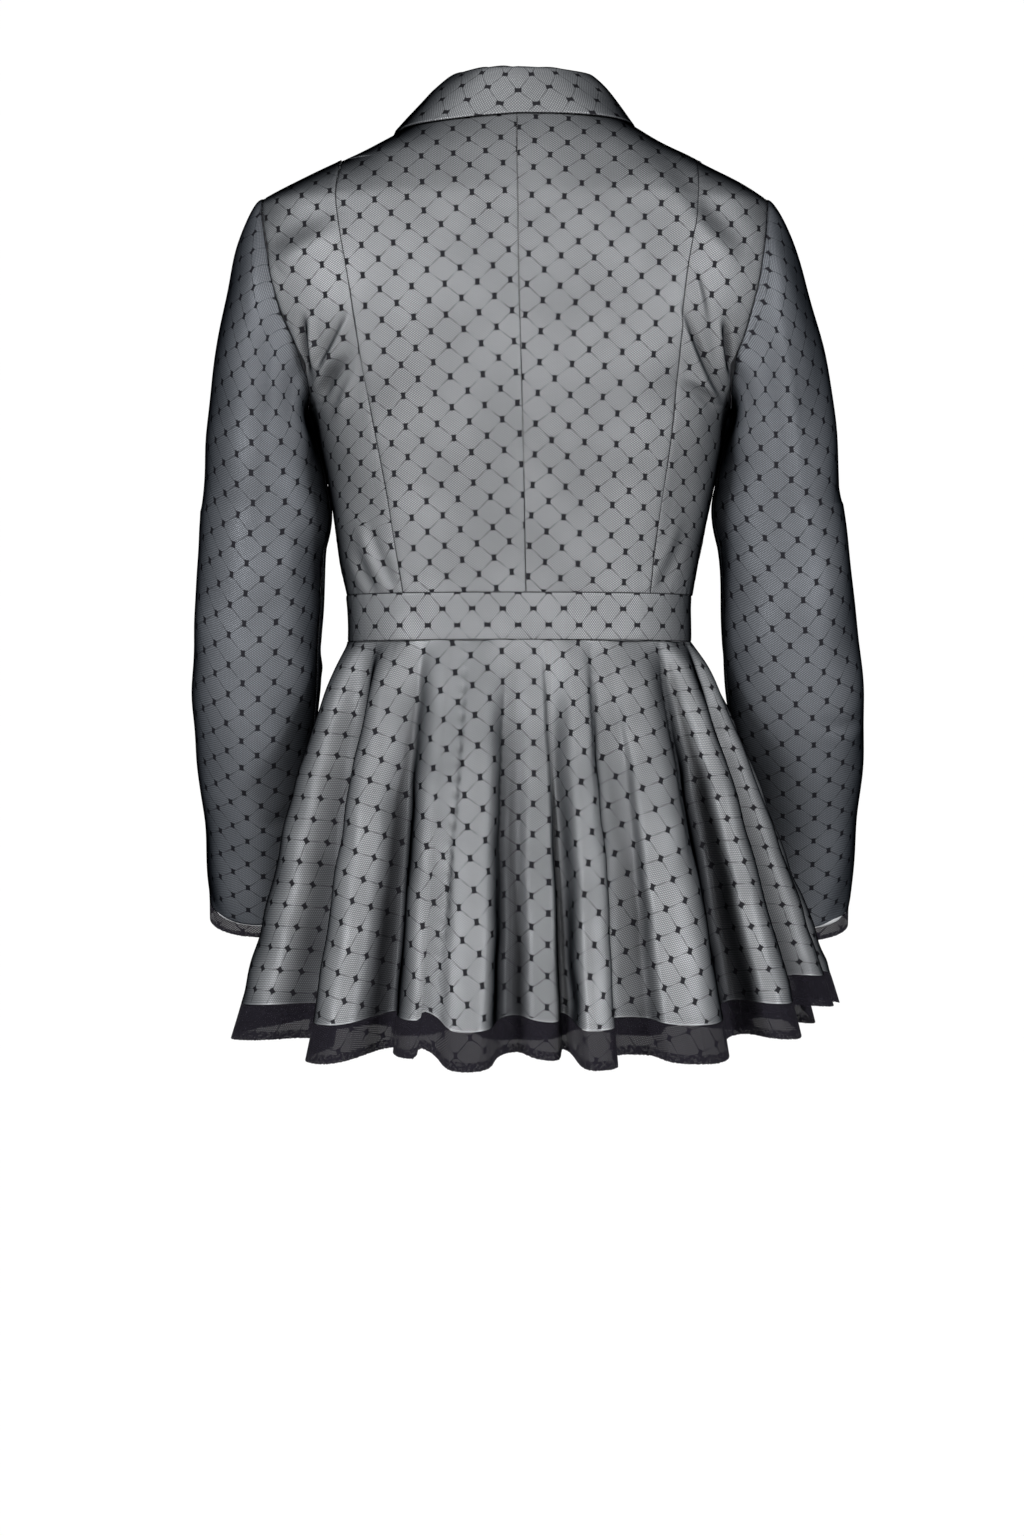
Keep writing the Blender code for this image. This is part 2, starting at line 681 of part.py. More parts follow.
CLOTH_LOOK = material("net_over_satin", NIGHT_GREY, 0.55)
NET_LOOK = material("black_net", BLACK_NET, 0.85)
make_bodice(CLOTH_LOOK)
make_sleeves(CLOTH_LOOK, NET_LOOK)
make_collar(CLOTH_LOOK)
make_waistband(CLOTH_LOOK)
make_peplum(CLOTH_LOOK, NET_LOOK)
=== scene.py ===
"""A peplum jacket in fine black net over light satin, worn and hollow, seen from the back."""

from collections import namedtuple

import bpy
import numpy as np
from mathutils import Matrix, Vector


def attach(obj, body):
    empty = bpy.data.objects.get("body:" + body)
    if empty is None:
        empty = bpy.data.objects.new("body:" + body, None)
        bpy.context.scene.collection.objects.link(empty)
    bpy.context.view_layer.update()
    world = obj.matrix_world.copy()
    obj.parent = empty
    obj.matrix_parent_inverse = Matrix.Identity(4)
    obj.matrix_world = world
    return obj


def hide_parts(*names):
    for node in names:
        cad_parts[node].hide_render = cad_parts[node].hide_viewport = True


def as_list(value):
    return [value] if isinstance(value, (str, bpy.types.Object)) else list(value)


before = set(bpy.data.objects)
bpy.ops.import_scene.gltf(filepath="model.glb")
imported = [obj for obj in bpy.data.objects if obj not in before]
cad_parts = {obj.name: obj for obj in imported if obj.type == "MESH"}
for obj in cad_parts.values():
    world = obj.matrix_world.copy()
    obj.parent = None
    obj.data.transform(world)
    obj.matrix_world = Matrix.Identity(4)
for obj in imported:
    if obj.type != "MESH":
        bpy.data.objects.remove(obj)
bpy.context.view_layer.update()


# ---------------- sizes

CLOTH = 0.0011
SHEER = 0.0004
SEAM_GAP = 0.00005

NECK_Z = 0.004
SHOULDER_Z = -0.066
PRINCESS_TOP_Z = -0.036
PRINCESS_TOP_ANGLE = 0.03
UNDERARM_Z = -0.238
WAIST_Z = -0.390
BREAK_Z = -0.300

WAISTBAND_HEIGHT = 0.038
PEPLUM_LENGTH = 0.303
PEPLUM_NET_LENGTH = 0.030
CUFF_NET_LENGTH = 0.017

COLLAR_STAND = 0.019
COLLAR_CLEARANCE = 0.0035

BACK_ROUNDNESS = 2.25
FRONT_ROUNDNESS = 2.1
PEPLUM_BACK_ROUNDNESS = 2.05
PEPLUM_FRONT_ROUNDNESS = 1.85
BUST_HEIGHT = 0.012
BUST_X = 0.080
BUST_Z = -0.200
BUST_RADIUS = 0.058

LEFT = 1
RIGHT = -1

GRID = 0.0022  # spacing of the fine sheets' points
PEPLUM_CUT_RADIUS = 0.248  # inner radius of the peplum's flat cut


# ---------------- tables


def table(columns, *rows):
    """Rows of numbers under named columns."""
    Row = namedtuple("Row", columns)
    return [Row(*row) for row in rows]


# Horizontal sections of the body: half widths to each side, depth behind and in front.
BODY = table(
    "z left right back front",
    (-0.43, 0.139, 0.1415, 0.083, 0.101),
    (-0.39, 0.1402, 0.1425, 0.081, 0.102),
    (-0.36, 0.1465, 0.148, 0.083, 0.107),
    (-0.314, 0.153, 0.158, 0.091, 0.117),
    (-0.27, 0.162, 0.167, 0.099, 0.126),
    (-0.238, 0.1715, 0.174, 0.104, 0.13),
    (-0.2048, 0.1965, 0.199, 0.108, 0.131),
    (-0.1603, 0.2235, 0.222, 0.11, 0.126),
    (-0.1166, 0.229, 0.225, 0.107, 0.116),
    (-0.079, 0.218, 0.213, 0.1, 0.103),
    (-0.066, 0.208, 0.203, 0.097, 0.097),
    (-0.036, 0.147, 0.15, 0.085, 0.08),
    (-0.0164, 0.104, 0.112, 0.075, 0.068),
    (0.004, 0.073, 0.077, 0.061, 0.056),
)

# Centre back and princess seams, by their distance from the middle.
SEAMS = table(
    "z centre left right",
    (-0.39, -0.0064, 0.093, 0.107),
    (-0.346, -0.0055, 0.1, 0.1112),
    (-0.2786, -0.0042, 0.1115, 0.1215),
    (-0.2193, -0.0026, 0.1232, 0.128),
    (-0.1505, -0.0008, 0.1344, 0.133),
    (-0.104, 0.0, 0.142, 0.14),
    (-0.0708, 0.0005, 0.1465, 0.1455),
    (-0.036, 0.0008, 0.1435, 0.1455),
    (0.004, 0.0008, 0.143, 0.145),
)

# Armhole seams, by their distance from the middle, on the back and on the front.
ARMHOLE = table(
    "z back_left back_right front_left front_right",
    (UNDERARM_Z, 0.1715, 0.174, 0.1715, 0.174),
    (-0.2345, 0.17, 0.1735, 0.1675, 0.17),
    (-0.2251, 0.1695, 0.1725, 0.164, 0.1655),
    (-0.2048, 0.1735, 0.1745, 0.1625, 0.163),
    (-0.183, 0.1821, 0.1818, 0.163, 0.163),
    (-0.1603, 0.1918, 0.1885, 0.165, 0.1645),
    (-0.1385, 0.1983, 0.1945, 0.1695, 0.1685),
    (-0.1166, 0.202, 0.1978, 0.1765, 0.175),
    (-0.0923, 0.2064, 0.2005, 0.189, 0.1865),
    (-0.079, 0.2078, 0.202, 0.1985, 0.195),
    (-0.07, 0.2082, 0.203, 0.205, 0.2005),
    (SHOULDER_Z, 0.208, 0.203, 0.208, 0.203),
)

# Edge of the front opening above the break, by its distance from the middle.
NECK = table(
    "z x",
    (BREAK_Z, 0.0),
    (-0.22, 0.027),
    (-0.14, 0.052),
    (-0.07, 0.069),
    (-0.03, 0.0745),
    (NECK_Z, 0.07),
)

# Sleeve rings below the cap: centre, half width and half depth.
SLEEVE_RING = "z x y half_width half_depth"
SLEEVES = {
    LEFT: table(
        SLEEVE_RING,
        (-0.3, 0.2079, -0.016, 0.0511, 0.06),
        (-0.322, 0.2067, -0.017, 0.0538, 0.0595),
        (-0.345, 0.2098, -0.017, 0.0524, 0.0588),
        (-0.38, 0.2125, -0.017, 0.0525, 0.057),
        (-0.43, 0.2147, -0.019, 0.0524, 0.055),
        (-0.475, 0.2165, -0.027, 0.0515, 0.053),
        (-0.52, 0.218, -0.046, 0.049, 0.05),
        (-0.565, 0.217, -0.074, 0.046, 0.047),
        (-0.61, 0.218, -0.105, 0.0445, 0.044),
        (-0.643, 0.219, -0.131, 0.043, 0.042),
    ),
    RIGHT: table(
        SLEEVE_RING,
        (-0.3, 0.2135, -0.016, 0.0515, 0.06),
        (-0.318, 0.2136, -0.017, 0.0544, 0.0595),
        (-0.345, 0.2178, -0.017, 0.0538, 0.0588),
        (-0.38, 0.2214, -0.017, 0.0546, 0.057),
        (-0.43, 0.2248, -0.02, 0.0565, 0.056),
        (-0.475, 0.2295, -0.03, 0.057, 0.054),
        (-0.52, 0.2335, -0.054, 0.0533, 0.051),
        (-0.565, 0.2365, -0.085, 0.0495, 0.0475),
        (-0.61, 0.238, -0.114, 0.047, 0.0445),
        (-0.648, 0.238, -0.14, 0.044, 0.0425),
    ),
}

# The peplum before its folds, by the drop below the waistband.
PEPLUM = table(
    "drop left right back front",
    (0.0, 0.139, 0.1415, 0.083, 0.101),
    (0.022, 0.149, 0.1545, 0.09, 0.105),
    (0.056, 0.159, 0.169, 0.102, 0.111),
    (0.119, 0.175, 0.191, 0.128, 0.124),
    (0.212, 0.192, 0.219, 0.162, 0.142),
    (0.303, 0.212, 0.245, 0.188, 0.158),
    (0.336, 0.22, 0.253, 0.197, 0.163),
)

# Peplum folds from the centre back round to each front edge, at the hem: where the ridge
# stands and how far out, how far in or out the furrow beyond it lies and at what share of the
# way to the next ridge, how far the ridge leans away from the centre back, how steep its
# sides are, upright at 1, and how much lower it hangs.
FOLD = "angle ridge furrow share lean steep drop"
FOLDS = {
    LEFT: table(
        FOLD,
        (9.5, 0.021, 0.009, 0.84, 0.0, 0.9, 0.0),
        (21.0, 0.013, -0.021, 0.58, -0.002, 0.1, -0.008),
        (36.5, 0.023, -0.022, 0.42, 0.01, 0.75, -0.003),
        (66, 0.024, -0.012, 0.5, 0.01, 0.8, -0.015),
        (89, 0.01, -0.012, 0.5, 0.004, 0.4, -0.02),
        (110, 0.009, -0.02, 0.45, 0.008, 0.55, -0.016),
        (132, 0.02, -0.016, 0.55, 0.008, 0.65, -0.01),
        (154, 0.018, -0.014, 0.5, 0.006, 0.6, -0.004),
    ),
    RIGHT: table(
        FOLD,
        (6.5, -0.008, -0.021, 0.25, 0.0, 0.2, -0.006),
        (13.0, 0.021, -0.01, 0.26, -0.004, 0.8, -0.001),
        (36.5, 0.023, -0.024, 0.5, -0.018, 0.65, -0.004),
        (57.5, 0.022, -0.018, 0.5, -0.018, 0.7, -0.018),
        (71, 0.012, -0.014, 0.5, 0.006, 0.4, -0.037),
        (92, 0.012, -0.012, 0.5, 0.006, 0.45, -0.036),
        (112, 0.016, -0.02, 0.5, 0.006, 0.5, -0.018),
        (132, 0.02, -0.016, 0.55, 0.008, 0.65, -0.01),
        (154, 0.018, -0.014, 0.5, 0.006, 0.6, -0.004),
    ),
}
FRONT_EDGE_FOLD = table(FOLD, (176, 0.010, 0.000, 0.50, 0.000, 0.30, 0.000))[0]
CENTRE_FURROW = -0.022
FOLD_GROWTH = 0.62  # folds deepen soon below the waistband
CREST_BREADTH = 0.30  # ridges are broader than furrows
CREST_DROP = 0.004

# The turned-back front, by the height of the opening's edge: width, how far its outer edge
# lies below that height, and how high the fold stands above it.
LAPEL = table(
    "z width fall stand",
    (BREAK_Z, 0.008, 0.0, 0.0),
    (-0.24, 0.03, 0.0, 0.0),
    (-0.16, 0.056, 0.0, 0.0),
    (-0.09, 0.062, 0.002, 0.003),
    (-0.04, 0.052, 0.01, 0.0115),
    (NECK_Z, 0.027, 0.016, 0.019),
)

# Collar round the back of the neck, by the angle from the centre back.
NAPE = table(
    "angle fold_left fold_right fold_y fold_z edge_x left_z right_z",
    (0, 0.0, 0.0, 0.057, 0.035, 0.0, -0.004, -0.004),
    (30, 0.028, 0.03, 0.051, 0.035, 0.052, -0.008, -0.0045),
    (60, 0.05, 0.0545, 0.031, 0.0335, 0.084, -0.01, -0.0045),
    (90, 0.058, 0.063, 0.002, 0.031, 0.094, -0.0112, -0.005),
)
FOLD_LEAN = {LEFT: 0.60, RIGHT: 0.45}  # how far the fold leans in beside the neck, by its height


# ---------------- smooth tables


def smooth_at(rows, name, at):
    """The named column of a table at values of its first column, on a smooth curve."""
    keys = np.array([row[0] for row in rows], float)
    values = np.array([getattr(row, name) for row in rows], float)
    index = np.arange(len(keys))
    before = np.maximum(index - 1, 0)
    after = np.minimum(index + 1, len(keys) - 1)
    slopes = (values[after] - values[before]) / (keys[after] - keys[before])
    at = np.clip(at, keys[0], keys[-1])
    low = np.clip(np.searchsorted(keys, at, side="right") - 1, 0, len(keys) - 2)
    span = keys[low + 1] - keys[low]
    t = (at - keys[low]) / span
    return (
        (1 + 2 * t) * (1 - t) ** 2 * values[low]
        + t * (1 - t) ** 2 * span * slopes[low]
        + t * t * (3 - 2 * t) * values[low + 1]
        - t * t * (1 - t) * span * slopes[low + 1]
    )


def ease(t):
    """0 to 1 with a level start and end."""
    t = np.clip(t, 0.0, 1.0)
    return t * t * (3 - 2 * t)


def joined(*parts):
    """Points from their coordinates."""
    return np.stack(np.broadcast_arrays(*parts), -1)


def unit(vectors):
    return vectors / np.maximum(np.linalg.norm(vectors, axis=-1, keepdims=True), 1e-12)


def travelled(points, axis=0):
    """Distance along an axis of a grid, from its first points to each."""
    steps = np.linalg.norm(np.diff(points, axis=axis), axis=-1)
    return np.insert(np.cumsum(steps, axis=axis), 0, 0.0, axis=axis)


def powered(value, power):
    return np.sign(value) * np.abs(value) ** power


def side_name(side):
    return "left" if side == LEFT else "right"


# ---------------- body form


def half_width(side, z):
    return smooth_at(BODY, side_name(side), z)


def around(x, side, z, front=False):
    """The angle round the section, from the centre back, of the point at x from the middle."""
    roundness = FRONT_ROUNDNESS if front else BACK_ROUNDNESS
    share = np.clip(x / half_width(side, z), -1.0, 1.0)
    angle = np.sign(share) * np.arcsin(np.abs(share) ** (roundness / 2))
    return np.pi - angle if front else angle


def body_point(side, angle, z, out=0.0):
    """Points of the body's outer face, angle measured from the centre back to this side."""
    angle, z = np.broadcast_arrays(np.asarray(angle, float), np.asarray(z, float))
    width = half_width(side, z)
    front = angle > np.pi / 2
    depth = np.where(front, smooth_at(BODY, "front", z), smooth_at(BODY, "back", z))
    power = np.where(front, 2 / FRONT_ROUNDNESS, 2 / BACK_ROUNDNESS)
    sine, cosine = np.sin(angle), np.cos(angle)
    x = width * powered(sine, power)
    y = depth * powered(cosine, power)
    reach = ((x - BUST_X) ** 2 + (z - BUST_Z) ** 2) / BUST_RADIUS**2
    y = y - np.where(front, BUST_HEIGHT * np.exp(-reach) * np.abs(cosine), 0.0)
    away = unit(joined(x / width**2, y / depth**2))
    x = x + away[..., 0] * out
    y = y + away[..., 1] * out
    return joined(side * x, y, z)


GIRTH_ANGLES = np.linspace(-0.3, np.pi, 260)


def girth(side, z, angles):
    """Distance round the section at height z from the centre back to each angle."""
    lengths = travelled(body_point(side, GIRTH_ANGLES, z))
    lengths -= np.interp(0.0, GIRTH_ANGLES, lengths)
    return np.interp(angles, GIRTH_ANGLES, lengths)


def angle_at(side, z, lengths):
    """The angles at these distances round the section at height z."""
    return np.interp(lengths, girth(side, z, GIRTH_ANGLES), GIRTH_ANGLES)


# ---------------- fine sheets

EDGE_STEPS = np.array([0.0, 0.0005, 0.0011, 0.0019, 0.0032])  # close points beside a seam


def spread(length, count):
    """Positions along a length, close together at both ends and even between them."""
    edge = EDGE_STEPS * min(1.0, length / 0.030)
    inner = np.linspace(edge[-1], length - edge[-1], count)
    return np.concatenate([edge[:-1], inner, length - edge[:-1][::-1]])


def flipped(*grids):
    """The grids with their columns in the opposite order."""
    return [grid[:, ::-1] for grid in grids]


def turned(u, v, degrees):
    """Flat coordinates with the grain turned."""
    cosine, sine = np.cos(np.radians(degrees)), np.sin(np.radians(degrees))
    return joined(u * cosine + v * sine, v * cosine - u * sine)


def normals_of(grid):
    """Unit normals of a grid whose rows run down and whose columns run to the wearer's right."""
    return unit(np.cross(np.gradient(grid, axis=0), np.gradient(grid, axis=1)))


def lay_sheet(name, grid, flat, looks, thickness, seam, inset=1.0, shade=None):
    """A closed thin sheet from a grid of outer points.

    flat holds each point's place in the flat cut, seam its distance to the nearest seam and its
    place along it, and shade its painted shade in a furrow or crease. inset is the share of the
    thickness that lies inside the grid. The outer face takes the first look, the inner face the
    last.
    """
    rows, columns = grid.shape[:2]
    normals = normals_of(grid)
    outer = grid + normals * thickness * (1 - inset)
    inner = grid - normals * thickness * inset
    points = np.concatenate([outer.reshape(-1, 3), inner.reshape(-1, 3)])
    index = np.arange(rows * columns).reshape(rows, columns)
    a, b, c, d = index[:-1, :-1], index[:-1, 1:], index[1:, 1:], index[1:, :-1]
    face = joined(a, d, c, b).reshape(-1, 4)
    border = np.concatenate([index[0], index[1:, -1], index[-1, -2::-1], index[-2::-1, 0]])
    ends = joined(border[:-1], border[1:])
    rim = np.concatenate([ends, ends[:, ::-1] + rows * columns], axis=1)
    faces = np.concatenate([face, face[:, ::-1] + rows * columns, rim])
    mesh = bpy.data.meshes.new(name)
    mesh.from_pydata(points, [], faces.tolist())
    corner = np.empty(len(mesh.loops), np.int32)
    mesh.loops.foreach_get("vertex_index", corner)
    corner %= rows * columns
    for layer, places in (("cloth", flat), ("seam", joined(*seam))):
        uv = mesh.uv_layers.new(name=layer)
        uv.data.foreach_set("uv", places.reshape(-1, 2)[corner].astype(np.float32).ravel())
    # Painted shade: how far each point's satin is darkened in its furrow or crease.
    if shade is not None:
        depth = mesh.attributes.new("shade", "FLOAT", "POINT")
        depth.data.foreach_set("value", np.tile(shade.ravel(), 2).astype(np.float32))
    for look in looks:
        mesh.materials.append(look)
    slots = np.zeros(len(faces), np.int32)
    slots[len(face) : 2 * len(face)] = len(looks) - 1
    mesh.polygons.foreach_set("material_index", slots)
    mesh.shade_smooth()
    piece = bpy.data.objects.new(name, mesh)
    bpy.context.scene.collection.objects.link(piece)
    return piece


# ---------------- creases

# A crease runs through three places of its piece, in millimetres: furrow depth, half width,
# and the height of the ridge on its left as it runs.
CREASE = "a0 b0 a1 b1 a2 b2 depth width ridge"
CREASE_DEPTH = 0.0058  # of a furrow whose satin is painted wholly in shade
EDGE_HOLD = 0.014  # height above a hem where its creases have died away


def creased(grid, plan, creases):
    """The grid pushed in and out along its normals by the creases laid out on its plan, and
    how much painted shade it takes in their furrows, 0 to 1."""
    shift, deepest = np.zeros(grid.shape[:2]), np.zeros(grid.shape[:2])
    steps = np.linspace(0, 1, 25)
    for crease in creases:
        first, middle, last = np.array(crease[:6]).reshape(3, 2) / 1000
        bend = 2 * middle - (first + last) / 2
        t = steps[:, None]
        line = (1 - t) ** 2 * first + 2 * t * (1 - t) * bend + t * t * last
        way = unit(np.gradient(line, axis=0))
        away = plan[:, :, None, :] - line
        nearest = np.argmin((away**2).sum(-1), axis=-1)
        away = np.take_along_axis(away, nearest[..., None, None], axis=2)[..., 0, :]
        heading = way[nearest]
        beside = heading[..., 0] * away[..., 1] - heading[..., 1] * away[..., 0]
        beyond = np.abs((heading * away).sum(-1))
        width = crease.width / 1000
        fade = np.sin(np.pi * (0.04 + 0.92 * steps[nearest])) ** 0.7
        fade = fade * np.exp(-((beyond / width) ** 2))
        furrow = crease.depth / 1000 * fade * np.exp(-((beside / width) ** 2))
        deepest = np.maximum(deepest, furrow)
        shift -= furrow
        shift += crease.ridge / 1000 * fade * np.exp(-(((beside - 1.7 * width) / width) ** 2))
    return grid + normals_of(grid) * shift[..., None], ease(deepest / CREASE_DEPTH)


UNDERARM_TOUCH_Z, UNDERARM_TOUCH_HEIGHT = -0.285, 0.060


def under_arm(z):
    """1 at the heights where the sleeve lies against the body, falling to 0 beyond."""
    return np.exp(-(((z - UNDERARM_TOUCH_Z) / UNDERARM_TOUCH_HEIGHT) ** 4))


WAVE_LENGTHS = (0.090, 0.065, 0.045)


def undulated(grid, plan, height, seed):
    """Broad, faint unevenness that worn cloth has everywhere."""
    chance = np.random.default_rng(seed)
    shift = np.zeros(grid.shape[:2])
    for length in WAVE_LENGTHS:
        for _ in range(3):
            heading = chance.uniform(0, 2 * np.pi)
            wave = plan[..., 0] * np.cos(heading) + plan[..., 1] * np.sin(heading)
            wave = wave * 2 * np.pi / length + chance.uniform(0, 2 * np.pi)
            shift += np.sin(wave) * length
    shift *= height / sum(WAVE_LENGTHS)
    return grid + normals_of(grid) * shift[..., None]


ROLL_WIDTH, ROLL_DEPTH = 0.0020, 0.0003
WELT_FROM, WELT_WIDTH, WELT_HEIGHT = 0.0045, 0.0030, 0.00015
PUCKER_WIDTH, PUCKER_HEIGHT = 0.006, 0.00010


def sewn(grid, distance, place, seed):
    """Cloth rolled under at its seams, and lightly puckered beside them."""
    roll = np.clip(1 - distance / ROLL_WIDTH, 0, 1) ** 2 * ROLL_DEPTH
    welt = np.exp(-(((distance - WELT_FROM) / WELT_WIDTH) ** 2)) * WELT_HEIGHT
    wave = np.sin(place * 620 + seed) + np.sin(place * 910 + 1.7 * seed)
    pucker = wave * PUCKER_HEIGHT * np.exp(-distance / PUCKER_WIDTH)
    return grid + normals_of(grid) * (welt + pucker - roll)[..., None]


def worn(name, look, grid, flat, plan, seam, waves, creases, hold=0.0, stitches=None, shade=0.0):
    """A piece as it is worn: undulated to a height and by a seed, creased, brought back where
    hold is 1, sewn where stitches has a seed, and laid as net over satin with painted shade in
    its furrows and creases."""
    smooth = grid
    grid, depth = creased(undulated(grid, plan, *waves), plan, creases)
    grid = smooth + (grid - smooth) * (1 - hold)
    if stitches is not None:
        grid = sewn(grid, *seam, stitches)
    # The painted shade of the creases' furrows joins the shade given.
    shade = np.maximum(shade, depth)
    return lay_sheet(name, grid, flat, (look, SATIN_INSIDE), CLOTH, seam, shade=shade)


# ---------------- bodice


def seam_angle(side, z):
    return around(smooth_at(SEAMS, side_name(side), z), side, z)


def princess_angle(side, z):
    """The princess seam's angle, and above its top the shoulder seam's."""
    if z >= PRINCESS_TOP_Z:
        return np.pi / 2 - (PRINCESS_TOP_ANGLE if z == PRINCESS_TOP_Z else 0)
    return seam_angle(side, z)


def armhole_angle(side, z, front):
    """The armhole seam's angle, or the side or shoulder seam's below and above it."""
    if z <= UNDERARM_Z or z >= SHOULDER_Z:
        return np.pi / 2
    face = "front_" if front else "back_"
    return around(smooth_at(ARMHOLE, face + side_name(side), z), side, z, front)


def opening_angle(side, z):
    """The centre front edge, and above the break the edge that runs up to the neck."""
    if z <= BREAK_Z:
        return np.pi
    return around(smooth_at(NECK, "x", z), side, z, front=True)


def centre_angle(side, z):
    return around(side * smooth_at(SEAMS, "centre", z), side, z)


def heights_between(top, bottom):
    """Rows down a panel, with one just above the princess seam's top where it reaches there."""
    length = top - bottom
    heights = top - spread(length, int(length / GRID))
    if top > PRINCESS_TOP_Z:
        heights = np.append(heights, [PRINCESS_TOP_Z + 2 * SEAM_GAP, PRINCESS_TOP_Z])
    return np.unique(heights)[::-1]


# Grain of each panel: its turn in degrees, and a place, in millimetres, where a dot lies.
Grain = namedtuple("Grain", "degrees dot_x dot_z")
SHOULDER_COLUMNS = 5  # stretched from the princess line to the shoulder seam above its top
BESIDE_SLEEVE = 0.84  # share of the half width past which the sleeve lies against the panel


def bodice_panel(name, side, top, start, end, columns, anchor, grain, creases):
    """A panel between two seams; flat sizes are measured from the grain line at anchor."""
    free_edge = creases is FRONT_CREASES  # the front opening has no seam
    heights = heights_between(top, WAIST_Z)
    over_shoulder = top > PRINCESS_TOP_Z and not free_edge
    rows, along, edges = [], [], []
    for z in heights:
        reach = girth(side, z, np.array([start(z), end(z), anchor(z)]))
        low, high = reach[0] + SEAM_GAP / 2, reach[1] - SEAM_GAP / 2
        lengths = low + spread(high - low, columns)
        if over_shoulder and z >= PRINCESS_TOP_Z:
            lengths = low + spread(girth(side, z, seam_angle(side, z)) - low, columns)
            inside = lengths[-SHOULDER_COLUMNS]
            lengths[-SHOULDER_COLUMNS:] = np.linspace(inside, high, SHOULDER_COLUMNS)
        rows.append(body_point(side, angle_at(side, z, lengths), z))
        along.append(lengths - reach[2])
        edges.append(joined(lengths - low, high - lengths))
    grid, along, edges = np.array(rows), np.array(along), np.array(edges)
    line = np.array([body_point(side, anchor(z), z) for z in heights])
    down = -travelled(line)[:, None]
    across = side * along if free_edge else -side * along
    if free_edge:
        edges[..., 1] = 1.0
    vertical = edges.min(axis=-1)
    above = top - heights if top > PRINCESS_TOP_Z else 1.0
    ends = np.minimum(above, heights - WAIST_Z)[:, None]
    distance = np.minimum(vertical, ends)
    place = np.where(vertical < ends, down, across)
    flat = turned(across, down, grain.degrees)
    dot_down = np.interp(-grain.dot_z / 1000, -heights, down[:, 0])
    dot = turned(grain.dot_x / 1000, dot_down, grain.degrees)
    flat = flat - dot
    plan = joined(grid[..., 0], grid[..., 2])
    if side == LEFT:
        grid, flat, distance, place, plan = flipped(grid, flat, distance, place, plan)
    beside = np.abs(grid[..., 0]) / half_width(side, heights)[:, None]
    hold = (ease((beside - BESIDE_SLEEVE) / 0.12) * under_arm(heights)[:, None])[..., None]
    seam, waves, stitches = (distance, place), (0.0006, len(name)), len(name)
    return worn(name, NET_ON_SATIN, grid, flat, plan, seam, waves, creases, hold, stitches)


# ---------------- sleeves

SLEEVE_GAP = 0.0001
ARMHOLE_RADIUS = 0.09  # upright, from its middle
UNDERARM_TUCK = 0.056  # draws the sleeve in along the body under the arm
UNDERARM_LEAN = 0.0022  # brings it against the body just below the armhole
LEAN_Z, LEAN_HEIGHT = -0.262, 0.013  # where it leans most, and how far up and down
BACK_TURN = 2.5 * np.pi  # of the middle of the sleeve's back, from under the arm
DOT_TURN = 2.45 * np.pi  # of the line on which dots lie
CREASE_RADIUS = 0.052  # turns a place round the sleeve into one on its creases' plan
SLEEVE_ROW = 0.0027
SLEEVE_COLUMNS = 140
CAP_ROWS = 40


def armhole_loop(side):
    """Points evenly round the armhole seam from under the arm, up the front and down the
    back, with the turn round the sleeve at which each comes down."""
    heights = SHOULDER_Z + (UNDERARM_Z - SHOULDER_Z) * ease(np.linspace(0, 1, 400))
    back = [body_point(side, armhole_angle(side, z, False), z) for z in heights]
    front = [body_point(side, armhole_angle(side, z, True), z) for z in heights]
    loop = np.array(back + front[-2::-1])
    lengths = travelled(loop)
    share = lengths / lengths[-1]
    under = share[len(heights) - 1]
    gap = SEAM_GAP / lengths[-1]
    wanted = under + gap + spread(1 - 2 * gap, SLEEVE_COLUMNS)
    wrapped = wanted % 1.0
    points = joined(*(np.interp(wrapped, share, loop[:, axis]) for axis in range(3)))
    return points, 2 * np.pi * wanted


def sleeve_axes(side, z):
    """The sleeve's middle and its three directions at height z."""
    rows = sorted(SLEEVES[side])

    def middle(at):
        return joined(side * smooth_at(rows, "x", at), smooth_at(rows, "y", at), at)

    down = unit(middle(z - 0.004) - middle(z + 0.004))
    lateral = np.zeros_like(down) + (side, 0, 0)
    lateral = unit(lateral - down * (down * lateral).sum(-1, keepdims=True))
    behind = np.zeros_like(down) + (0, 1, 0)
    behind = unit(behind - down * (down * behind).sum(-1, keepdims=True))
    return middle(z), down, lateral, behind


def sleeve_ring(side, z, turns, overhang=0.0):
    rows = sorted(SLEEVES[side])
    z = np.asarray(z, float)
    centre, down, lateral, behind = sleeve_axes(side, z)
    width = smooth_at(rows, "half_width", z)[..., None]
    depth = smooth_at(rows, "half_depth", z)[..., None]
    centre = centre + down * overhang
    cosine, sine = np.cos(turns)[:, None], np.sin(turns)[:, None]
    return centre + lateral * width * cosine + behind * depth * sine


def cap_grid(side, loop, ring):
    """The sleeve head: from the armhole seam out and over to the first full ring."""
    radial = loop - loop.mean(axis=0)
    lift = np.maximum(radial[:, 2], 0) / ARMHOLE_RADIUS
    drop = loop[:, 2] - ring[:, 2]
    tuck = np.maximum(-radial[:, 2], 0) / ARMHOLE_RADIUS
    outward = 0.080 - 0.020 * lift - UNDERARM_TUCK * tuck**2
    leave = joined(side * outward, radial[:, 1] * 0.5, -0.050 + 0.035 * lift)
    leave *= (0.55 + 0.45 * np.minimum(drop / 0.20, 1.0))[:, None]
    arrive = joined(0, 0, -1.15 * drop)
    start = loop + (side * SLEEVE_GAP, 0, 0)
    t = (np.linspace(0, 1, CAP_ROWS, endpoint=False) ** 1.25)[:, None, None]
    return (
        start * ((1 + 2 * t) * (1 - t) ** 2)
        + leave * (t * (1 - t) ** 2)
        + ring * (t * t * (3 - 2 * t))
        - arrive * (t * t * (1 - t))
    )


